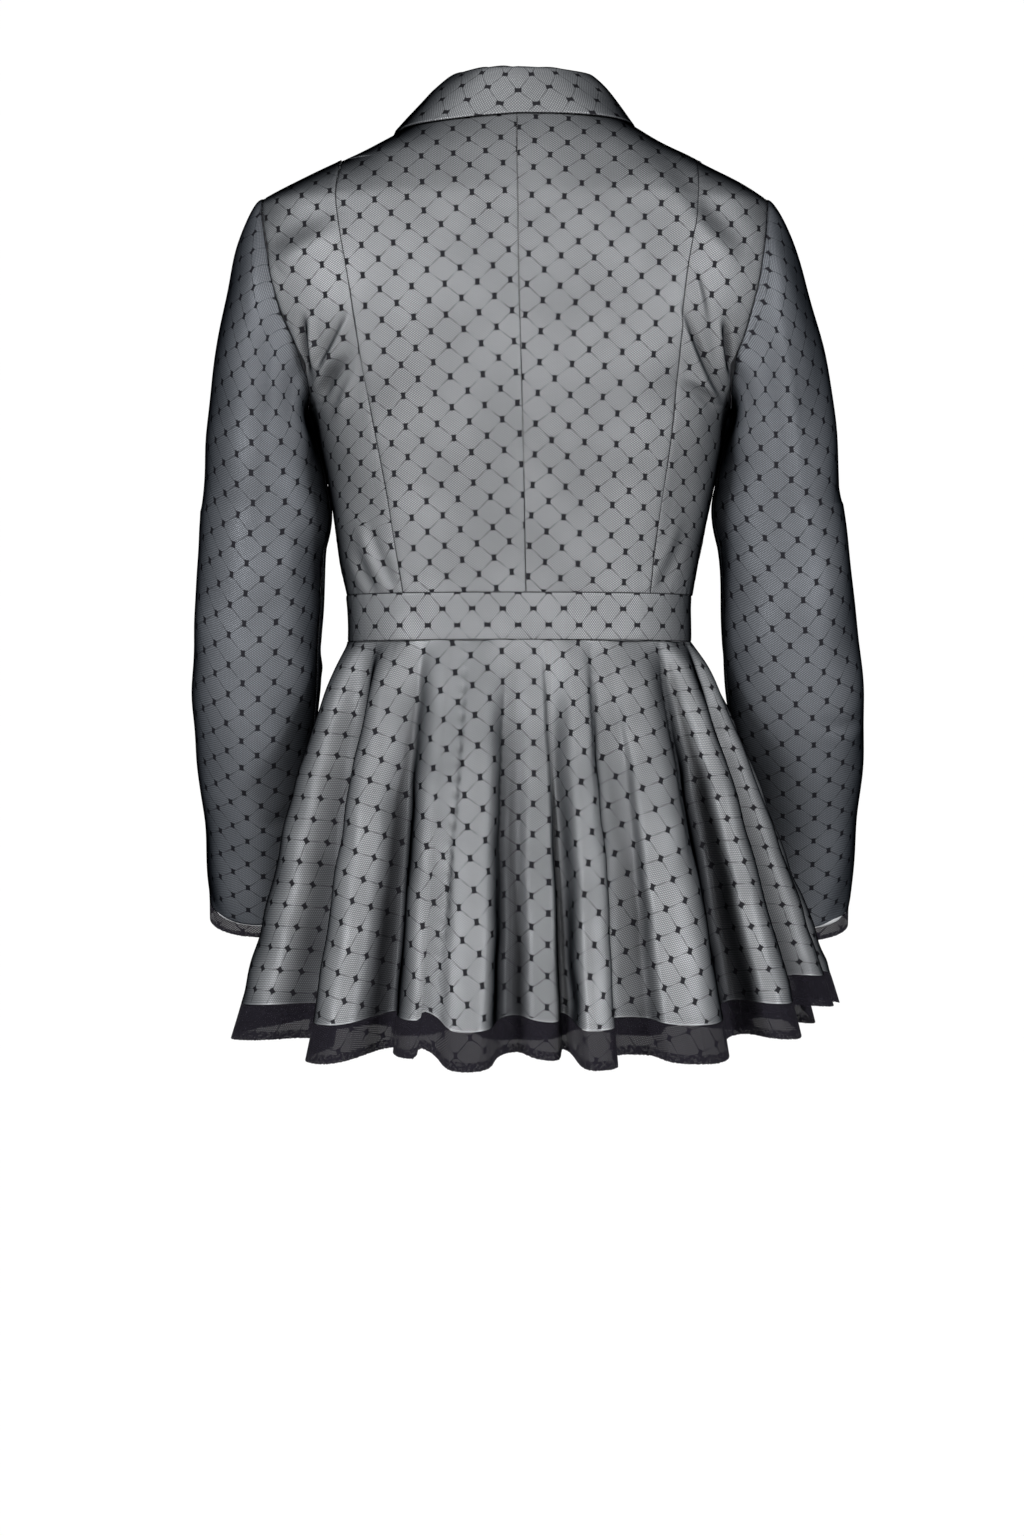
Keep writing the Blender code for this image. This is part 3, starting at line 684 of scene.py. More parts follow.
def make_sleeve(side):
    loop, turns = armhole_loop(side)
    top, cuff = SLEEVES[side][0].z, SLEEVES[side][-1].z
    heights = top - np.linspace(0, top - cuff, int((top - cuff) / SLEEVE_ROW))
    rings = np.array([sleeve_ring(side, z, turns) for z in heights])
    grid = np.concatenate([cap_grid(side, loop, rings[0]), rings])
    fall, across = travelled(grid), travelled(grid, axis=1)
    down = fall[-1] - fall  # measured up from the cuff, where the grain is square
    width = across[:, -1:]
    middle = np.array([np.interp(DOT_TURN, turns, row) for row in across])[:, None]
    edge = np.minimum(across, width - across)
    distance = np.minimum(edge, fall)
    place = np.where(edge < fall, fall, across)
    inner = ease(-1.4 * np.cos(turns)) * under_arm(grid[..., 2])
    hold = np.maximum(inner, 1 - ease(down / EDGE_HOLD))
    lean = UNDERARM_LEAN * inner * np.exp(-(((grid[..., 2] - LEAN_Z) / LEAN_HEIGHT) ** 2))
    grid = grid - joined(side * lean, 0, 0)
    plan = joined((turns - BACK_TURN) * CREASE_RADIUS, grid[..., 2])
    flat = joined(across - middle, down)
    if side == RIGHT:
        grid, flat, hold, distance = flipped(grid, flat, hold, distance)
        place, plan = flipped(place, plan)
        flat = flat * (-1, 1)
        plan = plan * (-1, 1)
    name, look = "sleeve_" + side_name(side) + "_cloth", NET_ON_SHADED_SATIN_SLEEVE
    seam, waves, creases = (distance, place), (0.0008, side + 5), SLEEVE_CREASES[side]
    hold, stitches = hold[..., None], side + 3
    return worn(name, look, grid, flat, plan, seam, waves, creases, hold, stitches)


# ---------------- collar


def fall_over(fold, edge):
    """Two rows between the fold and the outer edge, on a slightly full line."""
    full = np.array([0, 0, 0.0035])
    return fold * 0.70 + edge * 0.30 + full, fold * 0.35 + edge * 0.65 + full * 0.7


def lapel_columns(side, z):
    """From the opening's edge, over the fold, to the outer edge lying on the front."""
    x = smooth_at(NECK, "x", z)
    width = smooth_at(LAPEL, "width", z)
    fall = smooth_at(LAPEL, "fall", z)
    stand = smooth_at(LAPEL, "stand", z)
    lift = stand / COLLAR_STAND
    clear = joined(0, 0, COLLAR_CLEARANCE * lift)

    def lying(share, out):
        height = z - fall * share
        reach = np.minimum(x + width * share, half_width(side, height))
        angle = around(reach, side, height, front=True)
        return body_point(side, angle, height, out) + clear

    beside = around(x - 0.0018, side, z, front=True)
    seam = body_point(side, beside, z, -CLOTH / 2) + (0, 0, 0.0004)
    lean = FOLD_LEAN[side] * lift
    fold = lying(0.03, 0.0056) + joined(-side * stand * lean, -stand * 0.05, stand)
    edge = lying(1.0, COLLAR_CLEARANCE)
    raised = fall_over(fold, edge)
    flat = lying(0.35, 0.0060), lying(0.70, 0.0050)
    share = lift[..., None]
    between = [low * (1 - share) + high * share for low, high in zip(flat, raised)]
    turning = body_point(side, beside, z, 0.0030) + joined(0, 0, stand * 0.5)
    return [seam, turning, fold] + between + [edge]


def nape_columns(side, angle):
    """From the neck seam up the stand, over the fold and down to the outer edge."""
    degrees = np.degrees(angle)
    seam = body_point(side, angle, NECK_Z, -CLOTH / 2) + (0, 0, CLOTH)
    x = smooth_at(NAPE, "fold_" + side_name(side), degrees)
    fold = joined(side * x, smooth_at(NAPE, "fold_y", degrees), smooth_at(NAPE, "fold_z", degrees))
    low = smooth_at(NAPE, side_name(side) + "_z", degrees)
    share = around(smooth_at(NAPE, "edge_x", degrees), side, low)
    edge = body_point(side, share, low, COLLAR_CLEARANCE)
    return [seam, seam * 0.45 + fold * 0.55, fold, *fall_over(fold, edge), edge]


def through(knots, positions):
    """Points on a smooth curve through rows of knots, by distance along it."""
    knots = np.array(knots)
    first = 2 * knots[:1] - knots[1:2]
    last = 2 * knots[-1:] - knots[-2:-1]
    line = np.concatenate([first, knots, last])
    fine = []
    for i in range(len(knots) - 1):
        a, b, c, d = line[i : i + 4]
        square, cube = 2 * a - 5 * b + 4 * c - d, 3 * b - a - 3 * c + d
        for t in np.linspace(0, 1, 12, endpoint=False):
            fine.append(b + ((c - a) * t + square * t * t + cube * t**3) / 2)
    fine = np.array(fine + [knots[-1]])
    lengths = travelled(fine)
    columns = []
    for i in range(fine.shape[1]):
        at = positions * lengths[-1, i]
        columns.append([np.interp(at, lengths[:, i], fine[:, i, k]) for k in range(3)])
    return np.array(columns).transpose(2, 0, 1), lengths[-1]


COLLAR_MEASURED_ROW = -14  # of its 40 rows, where its length is taken


def make_collar():
    """One band from the left break up round the neck and down to the right break."""
    start = BREAK_Z + 0.006
    rise = np.linspace(0, 1, 110) ** 0.85
    heights = start + (NECK_Z - start) * rise
    angles = np.pi / 2 * (1 - np.linspace(0, 1, 46)[1:])
    knots = []
    for side in (LEFT, RIGHT):
        lapel = np.array(lapel_columns(side, heights))
        nape = np.array(nape_columns(side, angles))
        knots.append(np.concatenate([lapel, nape], axis=1))
    line = np.concatenate([knots[0], knots[1][:, -2::-1]], axis=1)
    rows = np.linspace(0, 1, 40)
    grid, widths = through(line, rows)
    along = travelled(grid[COLLAR_MEASURED_ROW])
    along = along - along[len(along) // 2]
    out = rows[:, None] * widths
    flat = turned(along, -out, 90)
    edge = (1 - rows[:, None]) * widths
    ends = np.minimum(along - along[0], along[-1] - along)
    seam = np.minimum(np.minimum(out, edge), ends), along
    plan = joined(along, -out)
    grid = undulated(grid, plan, 0.0005, 11)
    return lay_sheet("collar_cloth", grid, flat, (NET_ON_SATIN,), CLOTH, seam, inset=0.5)


# ---------------- waistband


def make_waistband():
    top, bottom = WAIST_Z - SEAM_GAP, WAIST_Z - WAISTBAND_HEIGHT
    heights = top - spread(top - bottom, 9)
    rows, across = [], []
    for z in heights:
        half = []
        for side in (LEFT, RIGHT):
            reach = girth(side, z, np.array([np.pi])) - FRONT_GAP
            lengths = np.linspace(0, reach[0], 150)
            points = body_point(side, angle_at(side, z, lengths), z, SEAM_GAP)
            half.append((points, lengths * -side))
        rows.append(np.concatenate([half[0][0][::-1], half[1][0][1:]]))
        across.append(np.concatenate([half[0][1][::-1], half[1][1][1:]]))
    grid, across = np.array(rows), np.array(across)
    down = (heights - top)[:, None]
    flat = turned(across, down, 90)
    plan = joined(across, down)
    seam = np.minimum(-down, down + top - bottom), across
    waves, creases = (0.0007, 21), WAISTBAND_CREASES
    return worn(
        "waistband_cloth", NET_ON_SATIN, grid, flat, plan, seam, waves, creases, stitches=2
    )


# ---------------- peplum

PEPLUM_COLUMNS = 240  # on each side of the centre back
FRONT_GAP = 0.0005
HEM_NET_GAP = 0.0004  # from the satin's edge to the net past it
FURROW_DEPTH = 0.028  # below its ridges where the satin is painted wholly in shade
NEAR_REACH, FAR_REACH = 10, 22  # columns in which a furrow's ridges are looked for
SOFT_FROM, SOFT_WIDTH, SOFT_SHARE = 14.0, 9.0, 0.75  # painted shade made lighter over open furrows right of the centre back


def fold_wave(side, degrees):
    """The folds at each angle: phase from ridge to ridge, the gap between them, their lean,
    steepness and drop, and how far out the cloth lies."""
    crests = [FOLDS[-side][0]] + FOLDS[side] + [FRONT_EDGE_FOLD]
    angles = np.array([-crests[0].angle] + [row.angle for row in crests[1:]])
    low = np.clip(np.searchsorted(angles, degrees, side="right") - 1, 0, len(angles) - 2)
    gap = angles[low + 1] - angles[low]
    t = (degrees - angles[low]) / gap
    mix = ease(t)
    share = np.array([0.5] + [row.share for row in crests[1:]])[low]
    furrow = np.array([CENTRE_FURROW] + [row.furrow for row in crests[1:]])[low]
    phase = np.where(t < share, t / share, 1 + (t - share) / (1 - share)) / 2

    def mixed(name, mirrored=1):
        values = np.array([getattr(row, name) for row in crests], float)
        values[0] *= mirrored
        return values[low] * (1 - mix) + values[low + 1] * mix

    out = furrow + (mixed("ridge") - furrow) * (0.5 + 0.5 * np.cos(2 * np.pi * phase))
    return phase, np.radians(gap), mixed("lean", -1), mixed("steep"), mixed("drop"), out


def peplum_base(side, angle, drop):
    """The peplum's section before its folds: points and directions, in the plane."""
    full = drop / PEPLUM_LENGTH
    front = angle > np.pi / 2
    width = smooth_at(PEPLUM, side_name(side), drop)
    depth = np.where(front, smooth_at(PEPLUM, "front", drop), smooth_at(PEPLUM, "back", drop))
    power = 2 / np.where(front, PEPLUM_FRONT_ROUNDNESS, PEPLUM_BACK_ROUNDNESS)
    power = 1 + (power - 1) * np.minimum(full * 2, 1.0)
    x = width * powered(np.sin(angle), power)
    y = depth * powered(np.cos(angle), power)
    away = unit(joined(x / width**2, y / depth**2))
    along = joined(away[..., 1], -away[..., 0])
    return joined(x, y), away, along


def peplum_points(side, waist_degrees, hem_degrees, drop):
    """Points of the folded peplum; folds grow from nothing at the waistband."""
    full = drop / PEPLUM_LENGTH
    share = np.minimum(full, 1.0) ** 0.5
    degrees = waist_degrees * (1 - share) + hem_degrees * share
    phase, gap, lean, steep, extra, out = fold_wave(side, hem_degrees)
    grow = full**FOLD_GROWTH
    crest = np.cos(2 * np.pi * phase)
    sway = steep / 2 * np.sin(4 * np.pi * phase) + CREST_BREADTH * np.sin(2 * np.pi * phase)
    sway *= np.minimum(grow * 1.3, 1.0) * gap / (2 * np.pi)
    point, away, along = peplum_base(side, np.radians(degrees) + sway, drop)
    point = point + away * (out * grow)[..., None]
    point = point + along * (lean * grow * (0.5 + 0.5 * crest))[..., None]
    start = WAIST_Z - WAISTBAND_HEIGHT
    fall = drop + (extra + CREST_DROP * crest) * full**1.5
    return joined(side * point[..., 0], point[..., 1], start - fall)


def below_ridges(out, reach):
    """How far each column lies below the highest within reach columns of it."""
    beside = np.lib.stride_tricks.sliding_window_view(np.pad(out, reach, "edge"), 2 * reach + 1)
    return beside.max(axis=-1) - out


def peplum_grid(drops):
    """The folded peplum, and how much painted shade each point takes from lying in its furrow, 0 to
    1.
    """
    halves, depths, turns = [], [], []
    for side in (LEFT, RIGHT):
        last = 180 - np.degrees(FRONT_GAP / PEPLUM[0].left)
        hem = np.linspace(0, last, PEPLUM_COLUMNS)
        line = peplum_points(side, hem, hem, PEPLUM_LENGTH)
        lengths = travelled(line)
        even = np.interp(np.linspace(0, lengths[-1], PEPLUM_COLUMNS), lengths, hem)
        waist = np.linspace(0, last, PEPLUM_COLUMNS)
        rows = [peplum_points(side, waist, even, drop) for drop in drops]
        halves.append(np.array(rows))
        depths.append(fold_wave(side, even)[-1])
        turns.append(-side * even)
    grid = np.concatenate([halves[0][:, ::-1], halves[1][:, 1:]], axis=1)
    out = np.concatenate([depths[0][::-1], depths[1][1:]])
    # Painted shade, deepest where a column lies far below the ridges near it.
    grow = (np.asarray(drops)[:, None] / PEPLUM_LENGTH) ** 0.7
    near, far = (
        ease(below_ridges(out, reach) * grow / FURROW_DEPTH) for reach in (NEAR_REACH, FAR_REACH)
    )
    turns = np.concatenate([turns[0][::-1], turns[1][1:]])
    soft = 1 - SOFT_SHARE * np.exp(-(((turns - SOFT_FROM) / SOFT_WIDTH) ** 2))
    return grid, (0.6 * near + 0.4 * far) * soft


def peplum_turns(grid, drops):
    """Each column's turn round the flat cut, a half ring, from the centre back."""
    middle = grid.shape[1] // 2
    along = travelled(grid, axis=1)
    along -= along[:, middle : middle + 1]
    radius = PEPLUM_CUT_RADIUS + np.asarray(drops)[:, None]
    return (along / radius)[len(grid) // 3 :].mean(axis=0)


def peplum_flat(turns, drops):
    """Places in the flat cut, and the distance round it from the centre back."""
    radius = PEPLUM_CUT_RADIUS + drops[:, None]
    return joined(np.sin(turns) * radius, -np.cos(turns) * radius), turns * radius


# ---------------- looks

LATTICE_WIDE = 0.0262  # between dots in a row
LATTICE_HIGH = 0.0245
DOT_HALF_WIDTH = 0.0022
DOT_HALF_HEIGHT = 0.0027
MESH = 0.0015  # between the net's threads
MESH_RISE, MESH_RUN = 0.60, 0.80  # direction of its threads
STITCH = 0.0024  # between stitches
HEM_DEPTH = 0.0048  # of the stitched satin hem
THREAD_COVER, LINE_COVER, DOT_COVER, STITCH_COVER = 0.62, 0.74, 0.97, 0.88
PAINTED_FURROW_SHADE = 0.82  # how far the satin is painted darker, as painted shade, deep in furrows and creases
NET_COLOUR = (0.017, 0.015, 0.021, 1)
# colour of the painted shade in furrows and creases
PAINTED_SHADE_COLOUR = (0.03, 0.033, 0.042, 1)


class Number:
    """A shader's number, written into sums and products as any number is."""

    def __init__(self, wiring, socket):
        self.wiring, self.socket = wiring, socket

    def __add__(self, other):
        return self.wiring.math("ADD", self, other)

    def __sub__(self, other):
        return self.wiring.math("SUBTRACT", self, other)

    def __mul__(self, other):
        return self.wiring.math("MULTIPLY", self, other)

    def __truediv__(self, other):
        return self.wiring.math("DIVIDE", self, other)

    def __abs__(self):
        return self.wiring.math("ABSOLUTE", self)


class Wiring:
    """Short ways to add and join shader nodes."""

    def __init__(self, name):
        self.look = bpy.data.materials.new(name)
        self.look.use_nodes = True
        self.tree = self.look.node_tree
        self.shader = self.tree.nodes["Principled BSDF"].inputs

    def node(self, kind, **settings):
        made = self.tree.nodes.new("ShaderNode" + kind)
        for key, value in settings.items():
            setattr(made, key, value)
        return made

    def feed(self, socket, value):
        value = value.socket if isinstance(value, Number) else value
        if isinstance(value, bpy.types.NodeSocket):
            self.tree.links.new(value, socket)
        else:
            socket.default_value = value

    def finish(self, inputs):
        """The look, with these inputs of its shader."""
        for name, value in inputs.items():
            self.feed(self.shader[name], value)
        return self.look

    def math(self, operation, *values):
        made = self.node("Math", operation=operation)
        for socket, value in zip(made.inputs, values):
            self.feed(socket, value)
        return Number(self, made.outputs[0])

    def most(self, first, *others):
        for other in others:
            first = self.math("MAXIMUM", first, other)
        return first

    def between(self, value, low, high, to_low=0.0, to_high=1.0):
        made = self.node("MapRange", interpolation_type="SMOOTHSTEP")
        for socket, given in zip(made.inputs, (value, low, high, to_low, to_high)):
            self.feed(socket, given)
        return Number(self, made.outputs[0])

    def mix(self, share, first, second):
        made = self.node("Mix", data_type="RGBA")
        for place, value in ((0, share), (6, first), (7, second)):
            self.feed(made.inputs[place], value)
        return made.outputs[2]

    def uv(self, layer):
        places = self.node("UVMap", uv_map=layer).outputs[0]
        apart = self.node("SeparateXYZ")
        self.feed(apart.inputs[0], places)
        return places, Number(self, apart.outputs[0]), Number(self, apart.outputs[1])

    def noise(self, vector, scale, detail=2.0):
        made = self.node("TexNoise")
        for key, value in (("Vector", vector), ("Scale", scale), ("Detail", detail)):
            self.feed(made.inputs[key], value)
        return Number(self, made.outputs[0])

    def bump(self, height, strength, distance):
        made = self.node("Bump")
        for key, value in (("Strength", strength), ("Distance", distance), ("Height", height)):
            self.feed(made.inputs[key], value)
        return made.outputs[0]

    def from_line(self, value, period):
        """Distance from the nearest of a family of lines, in the value's unit."""
        return abs(self.math("WRAP", value / period, 0.5, -0.5)) * period


def dot_at(w, u, v, shift):
    """An hourglass dot at each lattice corner, or at each centre where shift is a half."""
    x = w.from_line(u + shift * LATTICE_WIDE, LATTICE_WIDE)
    share = w.from_line(v + shift * LATTICE_HIGH, LATTICE_HIGH) / DOT_HALF_HEIGHT
    waist = share * share * 0.30 + 0.76
    return w.between(w.most(x / (waist * DOT_HALF_WIDTH), share), 1.18, 0.86)


def net_pattern(w):
    """Cover of the net's threads, of its lattice lines and of its dots, each 0 to 1."""
    places, u, v = w.uv("cloth")
    wobble = (w.noise(places, 900.0, 1.0) - 0.5) * 0.00050
    u = u + (w.noise(places, 45.0) - 0.5) * 0.0022
    near_u, near_v = u + wobble, v + wobble
    families = [u * rise + v * MESH_RUN for rise in (MESH_RISE, -MESH_RISE)]
    threads = [w.between(w.from_line(family, MESH), 0.00045, 0.00016) for family in families]
    across, up = near_u / LATTICE_WIDE, near_v / LATTICE_HIGH
    families = across + up, across - up
    lines = [w.between(w.from_line(family, 1.0), 0.026, 0.009) for family in families]
    dots = [dot_at(w, near_u, near_v, shift) for shift in (0.0, 0.5)]
    return w.most(*threads), w.most(*lines), w.most(*dots)


def stitching(w):
    """The fine dark line where two edges meet, the row of stitches above the peplum's hem,
    and the satin's folded edge that shows pale below the net."""
    _, distance, place = w.uv("seam")
    stitch = w.between(w.from_line(place, STITCH), 0.00105, 0.00075, 0.55, 1.0)
    seam = w.between(distance, 0.00065, 0.00028) * stitch
    above = abs(distance - (PEPLUM_LENGTH - HEM_DEPTH))
    row = w.between(above, 0.00050, 0.00020) * stitch
    edge = w.between(distance, PEPLUM_LENGTH - 0.0013, PEPLUM_LENGTH - 0.0008)
    return w.most(seam, row * 0.45), edge


def cloth_look(name, satin, tint, roughness):
    """Black net over satin, with painted shade in its furrows and creases; the net closes up where
    it is seen at a slant.
    """
    w = Wiring(name)
    threads, lines, dots = net_pattern(w)
    places, _, _ = w.uv("cloth")
    stitch, edge = stitching(w)
    cover = w.most(
        threads * THREAD_COVER, lines * LINE_COVER, dots * DOT_COVER, stitch * STITCH_COVER
    )
    cover = cover * (edge * -0.7 + 1.0)
    cloudy = w.between(w.noise(places, 14.0, 3.0), 0.35, 0.65)
    ground = w.mix(cloudy, (*(c * 0.86 for c in satin), 1), (*satin, 1))
    # Painted shade: the satin is darkened by the shade attribute, deep in furrows and creases.
    furrow = Number(w, w.node("Attribute", attribute_name="shade").outputs["Fac"])
    ground = w.mix(furrow * PAINTED_FURROW_SHADE, ground, PAINTED_SHADE_COLOUR)
    return w.finish(
        {
            "Base Color": w.mix(cover, ground, NET_COLOUR),
            "Roughness": w.between(cover, 0.0, 1.0, roughness, 0.85),
            "Metallic": 0.25,
            "Specular IOR Level": 0.5,
            "Coat Weight": 1.0,
            "Coat IOR": 1.0,
            "Coat Roughness": 0.5,
            "Coat Tint": (*tint, 1),
            "Normal": w.bump(cover, 0.35, 0.0003),
        }
    )


def lining_look(name, colour):
    """The satin's wrong side."""
    w = Wiring(name)
    places, u, v = w.uv("cloth")
    weave = w.from_line(u, 0.0009) * w.from_line(v, 0.0005) * 4.0e6
    deep = (*(c * 0.78 for c in colour), 1)
    return w.finish(
        {
            "Base Color": w.mix(w.noise(places, 22.0, 3.0), deep, (*colour, 1)),
            "Roughness": 0.42,
            "Specular IOR Level": 0.5,
            "Normal": w.bump(weave, 0.3, 0.0002),
        }
    )


def sheer_look(name, veil, band):
    """The net alone: veil is how far it closes between its threads, band the height of the
    crumpled, doubled edge."""
    w = Wiring(name)
    threads, lines, dots = net_pattern(w)
    places, _, _ = w.uv("cloth")
    _, distance, _ = w.uv("seam")
    uneven = (w.noise(places, 90.0) - 0.5) * 0.0030
    crumpled = w.between(w.noise(places, 420.0, 3.0), 0.40, 0.56, 0.72, 1.0)
    hem = w.between(distance + uneven, band + 0.0005, band - 0.0005) * crumpled
    cover = w.most(threads * (0.96 - veil) + veil, lines * 0.97, dots, hem)
    frayed = w.between(distance - w.noise(places, 650.0) * 0.0018, -0.0004, 0.0)
    return w.finish(
        {
            "Base Color": (0.009, 0.008, 0.012, 1),
            "Roughness": 0.9,
            "Specular IOR Level": 0.1,
            "Alpha": cover * frayed,
        }
    )


# ---------------- the jacket

SLANT_TINT = (0.36, 0.37, 0.385)
SLEEVE_SLANT_TINT = (0.39, 0.405, 0.425)
# One satin in three copies: the peplum's painted a little lighter, as painted light, and the
# sleeves' painted about half as bright, as painted shade.
NET_ON_SATIN = cloth_look("net_on_satin", (0.93, 0.93, 0.92), SLANT_TINT, 0.42)
NET_ON_LIT_SATIN_PEPLUM = cloth_look("net_on_satin_peplum", (0.98, 0.98, 0.97), SLANT_TINT, 0.38)
NET_ON_SHADED_SATIN_SLEEVE = cloth_look(
    "net_on_satin_sleeve", (0.48, 0.49, 0.51), SLEEVE_SLANT_TINT, 0.45
)
SATIN_INSIDE = lining_look("satin_inside", (0.50, 0.51, 0.53))
HEM_NET = sheer_look("hem_net", 0.64, 0.0080)
CUFF_NET = sheer_look("cuff_net", 0.46, 0.0048)

BACK_GRAIN = {LEFT: Grain(3.5, -4.8, -167.4), RIGHT: Grain(-3.0, 5.6, -171.0)}
SIDE_GRAIN = {LEFT: Grain(6.0, 0.0, -200.0), RIGHT: Grain(-6.0, 0.0, -200.0)}
FRONT_GRAIN = {LEFT: Grain(2.0, 0.0, -200.0), RIGHT: Grain(-2.0, 0.0, -205.0)}

BACK_CREASES = table(
    CREASE,
    (170, -211, 172, -193, 173, -171, 5.6, 3.5, 3.5),
    (161, -206, 151, -189, 140, -168, 2.7, 3.2, 2.6),
    (137, -201, 150, -216, 158, -233, 4.4, 5.0, 3.2),
    (152, -246, 145, -228, 134, -208, 0.9, 4.0, 1.9),
    (207, -115, 183, -99, 146, -84, 2.1, 11.0, 2.6),
    (121, -332, 112, -359, 99, -386, 1.5, 5.0, 1.2),
    (132, -354, 124, -374, 115, -389, 1.4, 4.0, 0.9),
    (-120, -39, -163, -90, -186, -111, 2.4, 11.0, 2.9),
    (-167, -174, -169, -194, -174, -214, 5.6, 3.5, 3.5),
    (-133, -163, -147, -199, -164, -228, 3.3, 3.4, 2.6),
    (-159, -241, -147, -230, -133, -224, 2.2, 4.0, 2.0),
    (-145, -133, -150, -150, -155, -173, 1.2, 3.2, 1.2),
    (-137, -334, -126, -362, -113, -389, 1.4, 5.0, 1.0),
)
FRONT_CREASES = table(
    CREASE,
    (163, -226, 146, -214, 124, -212, 3.9, 5.0, 2.6),
    (164, -243, 148, -236, 130, -240, 2.4, 4.5, 1.7),
    (150, -175, 144, -160, 143, -138, 2.1, 6.0, 1.4),
    (138, -352, 112, -344, 84, -350, 1.5, 6.0, 1.2),
    (120, -376, 92, -370, 66, -374, 1.2, 5.0, 0.9),
    (-165, -229, -150, -216, -128, -209, 3.9, 5.0, 2.6),
    (-167, -247, -152, -238, -136, -238, 2.2, 4.5, 1.7),
    (-149, -181, -145, -165, -147, -142, 2.1, 6.0, 1.4),
    (-136, -346, -108, -341, -82, -348, 1.5, 6.0, 1.2),
    (-118, -372, -90, -368, -70, -374, 1.2, 5.0, 0.9),
)
SLEEVE_CREASES = {
    LEFT: table(
        CREASE,
        (-2, -140, 1, -250, -5, -350, 1.8, 7.0, 1.3),
        (34, -178, 26, -215, 24, -262, 2.5, 7.0, 1.4),
        (60, -268, 46, -282, 30, -290, 1.7, 5.0, 1.3),
        (-118, -448, -163, -462, -208, -450, 4.2, 7.0, 2.8),
        (-124, -482, -160, -496, -200, -486, 3.4, 6.0, 2.2),
        (-196, -424, -222, -438, -240, -434, 2.5, 6.0, 1.7),
        (-132, -532, -158, -546, -186, -544, 2.0, 6.0, 1.3),
        (-110, -594, -140, -606, -176, -600, 1.7, 6.0, 1.3),
        (-148, -150, -160, -190, -158, -236, 2.5, 8.0, 1.7),
        (46, -560, 30, -572, 8, -576, 1.4, 6.0, 1.0),
    ),
    RIGHT: table(
        CREASE,
        (4, -150, -1, -240, 6, -340, 1.5, 7.0, 1.1),
        (-36, -186, -28, -220, -26, -262, 2.5, 7.0, 1.4),
        (-62, -262, -44, -280, -28, -286, 1.7, 5.0, 1.3),
        (122, -456, 166, -470, 206, -456, 4.2, 7.0, 2.8),
        (126, -492, 162, -504, 202, -492, 3.4, 6.0, 2.2),
        (192, -430, 218, -446, 238, -440, 2.5, 6.0, 1.7),
        (134, -540, 160, -552, 190, -548, 2.0, 6.0, 1.3),
        (112, -600, 142, -612, 178, -604, 1.7, 6.0, 1.3),
        (146, -156, 160, -196, 156, -240, 2.5, 8.0, 1.7),
        (60, -488, 34, -496, 12, -492, 1.7, 6.0, 1.1),
    ),
}
PEPLUM_CREASES = table(
    CREASE,
    (-108, -3, -138, -100, -172, -174, 1.4, 2.4, 0.3),
    (-43, -3, -66, -148, -106, -302, 3.2, 2.5, 0.4),
    (-6, -3, -15, -110, -16, -209, 1.6, 2.4, 0.3),
    (66, -3, 79, -108, 92, -186, 1.6, 2.4, 0.3),
    (140, -3, 169, -105, 200, -200, 1.4, 2.4, 0.3),
)
WAISTBAND_CREASES = table(
    CREASE,
    (46, -2, 41, -18, 45, -36, 0.5, 6.0, 0.3),
    (-78, -3, -84, -20, -80, -36, 0.5, 6.0, 0.3),
)


SIDE_GRAIN_X = 0.150  # of the line that the side back's flat cut is measured from


def make_bodice(side):
    """The back, the side back and the front of one side."""

    def seam(angle_of, *more):
        return lambda z: angle_of(side, z, *more)

    centre, princess, opening = seam(centre_angle), seam(princess_angle), seam(opening_angle)
    back_edge, front_edge = seam(armhole_angle, False), seam(armhole_angle, True)
    panels = (
        ("back_", NECK_Z, centre, princess, 64, lambda z: 0.0, BACK_GRAIN, BACK_CREASES),
        ("side_back_", PRINCESS_TOP_Z, princess, back_edge, 36,
         lambda z: around(SIDE_GRAIN_X, side, z), SIDE_GRAIN, BACK_CREASES),
        ("front_", NECK_Z, front_edge, opening, 92, lambda z: np.pi, FRONT_GRAIN, FRONT_CREASES),
    )
    for name, top, start, end, columns, anchor, grain, creases in panels:
        name += side_name(side) + "_cloth"
        yield bodice_panel(name, side, top, start, end, columns, anchor, grain[side], creases)


def make_cuff(side):
    cuff = SLEEVES[side][-1].z
    _, turns = armhole_loop(side)
    falls = np.linspace(0.0001, CUFF_NET_LENGTH, 8)
    grid = np.array([sleeve_ring(side, cuff, turns, fall) for fall in falls])
    across = travelled(grid, axis=1)
    down = falls[:, None]
    if side == RIGHT:
        grid, across = grid[:, ::-1], -across[:, ::-1]
    flat = joined(across, -down)
    name = "cuff_net_" + side_name(side) + "_cloth"
    return lay_sheet(name, grid, flat, (CUFF_NET,), SHEER, (CUFF_NET_LENGTH - down, across))


def make_peplum():
    """The peplum, and the net that reaches past it."""
    drops = spread(PEPLUM_LENGTH, 92) + SEAM_GAP
    grid, shade = peplum_grid(drops)
    turns = peplum_turns(grid, drops)
    flat, place = peplum_flat(turns, drops)
    distance = drops[:, None]
    plan = joined(place, -distance)
    hold = (1 - ease((PEPLUM_LENGTH - distance) / EDGE_HOLD))[..., None]
    look, seam, waves, creases = NET_ON_LIT_SATIN_PEPLUM, (distance, place), (0.0009, 31), PEPLUM_CREASES
    yield worn("peplum_cloth", look, grid, flat, plan, seam, waves, creases, hold, shade=shade)
    drops = PEPLUM_LENGTH + HEM_NET_GAP + np.linspace(0, PEPLUM_NET_LENGTH, 14)
    grid, _ = peplum_grid(drops)
    flat, place = peplum_flat(turns, drops)
    seam = (drops[-1] - drops)[:, None], place
    yield lay_sheet("peplum_net_hem_cloth", grid, flat, (HEM_NET,), SHEER, seam)


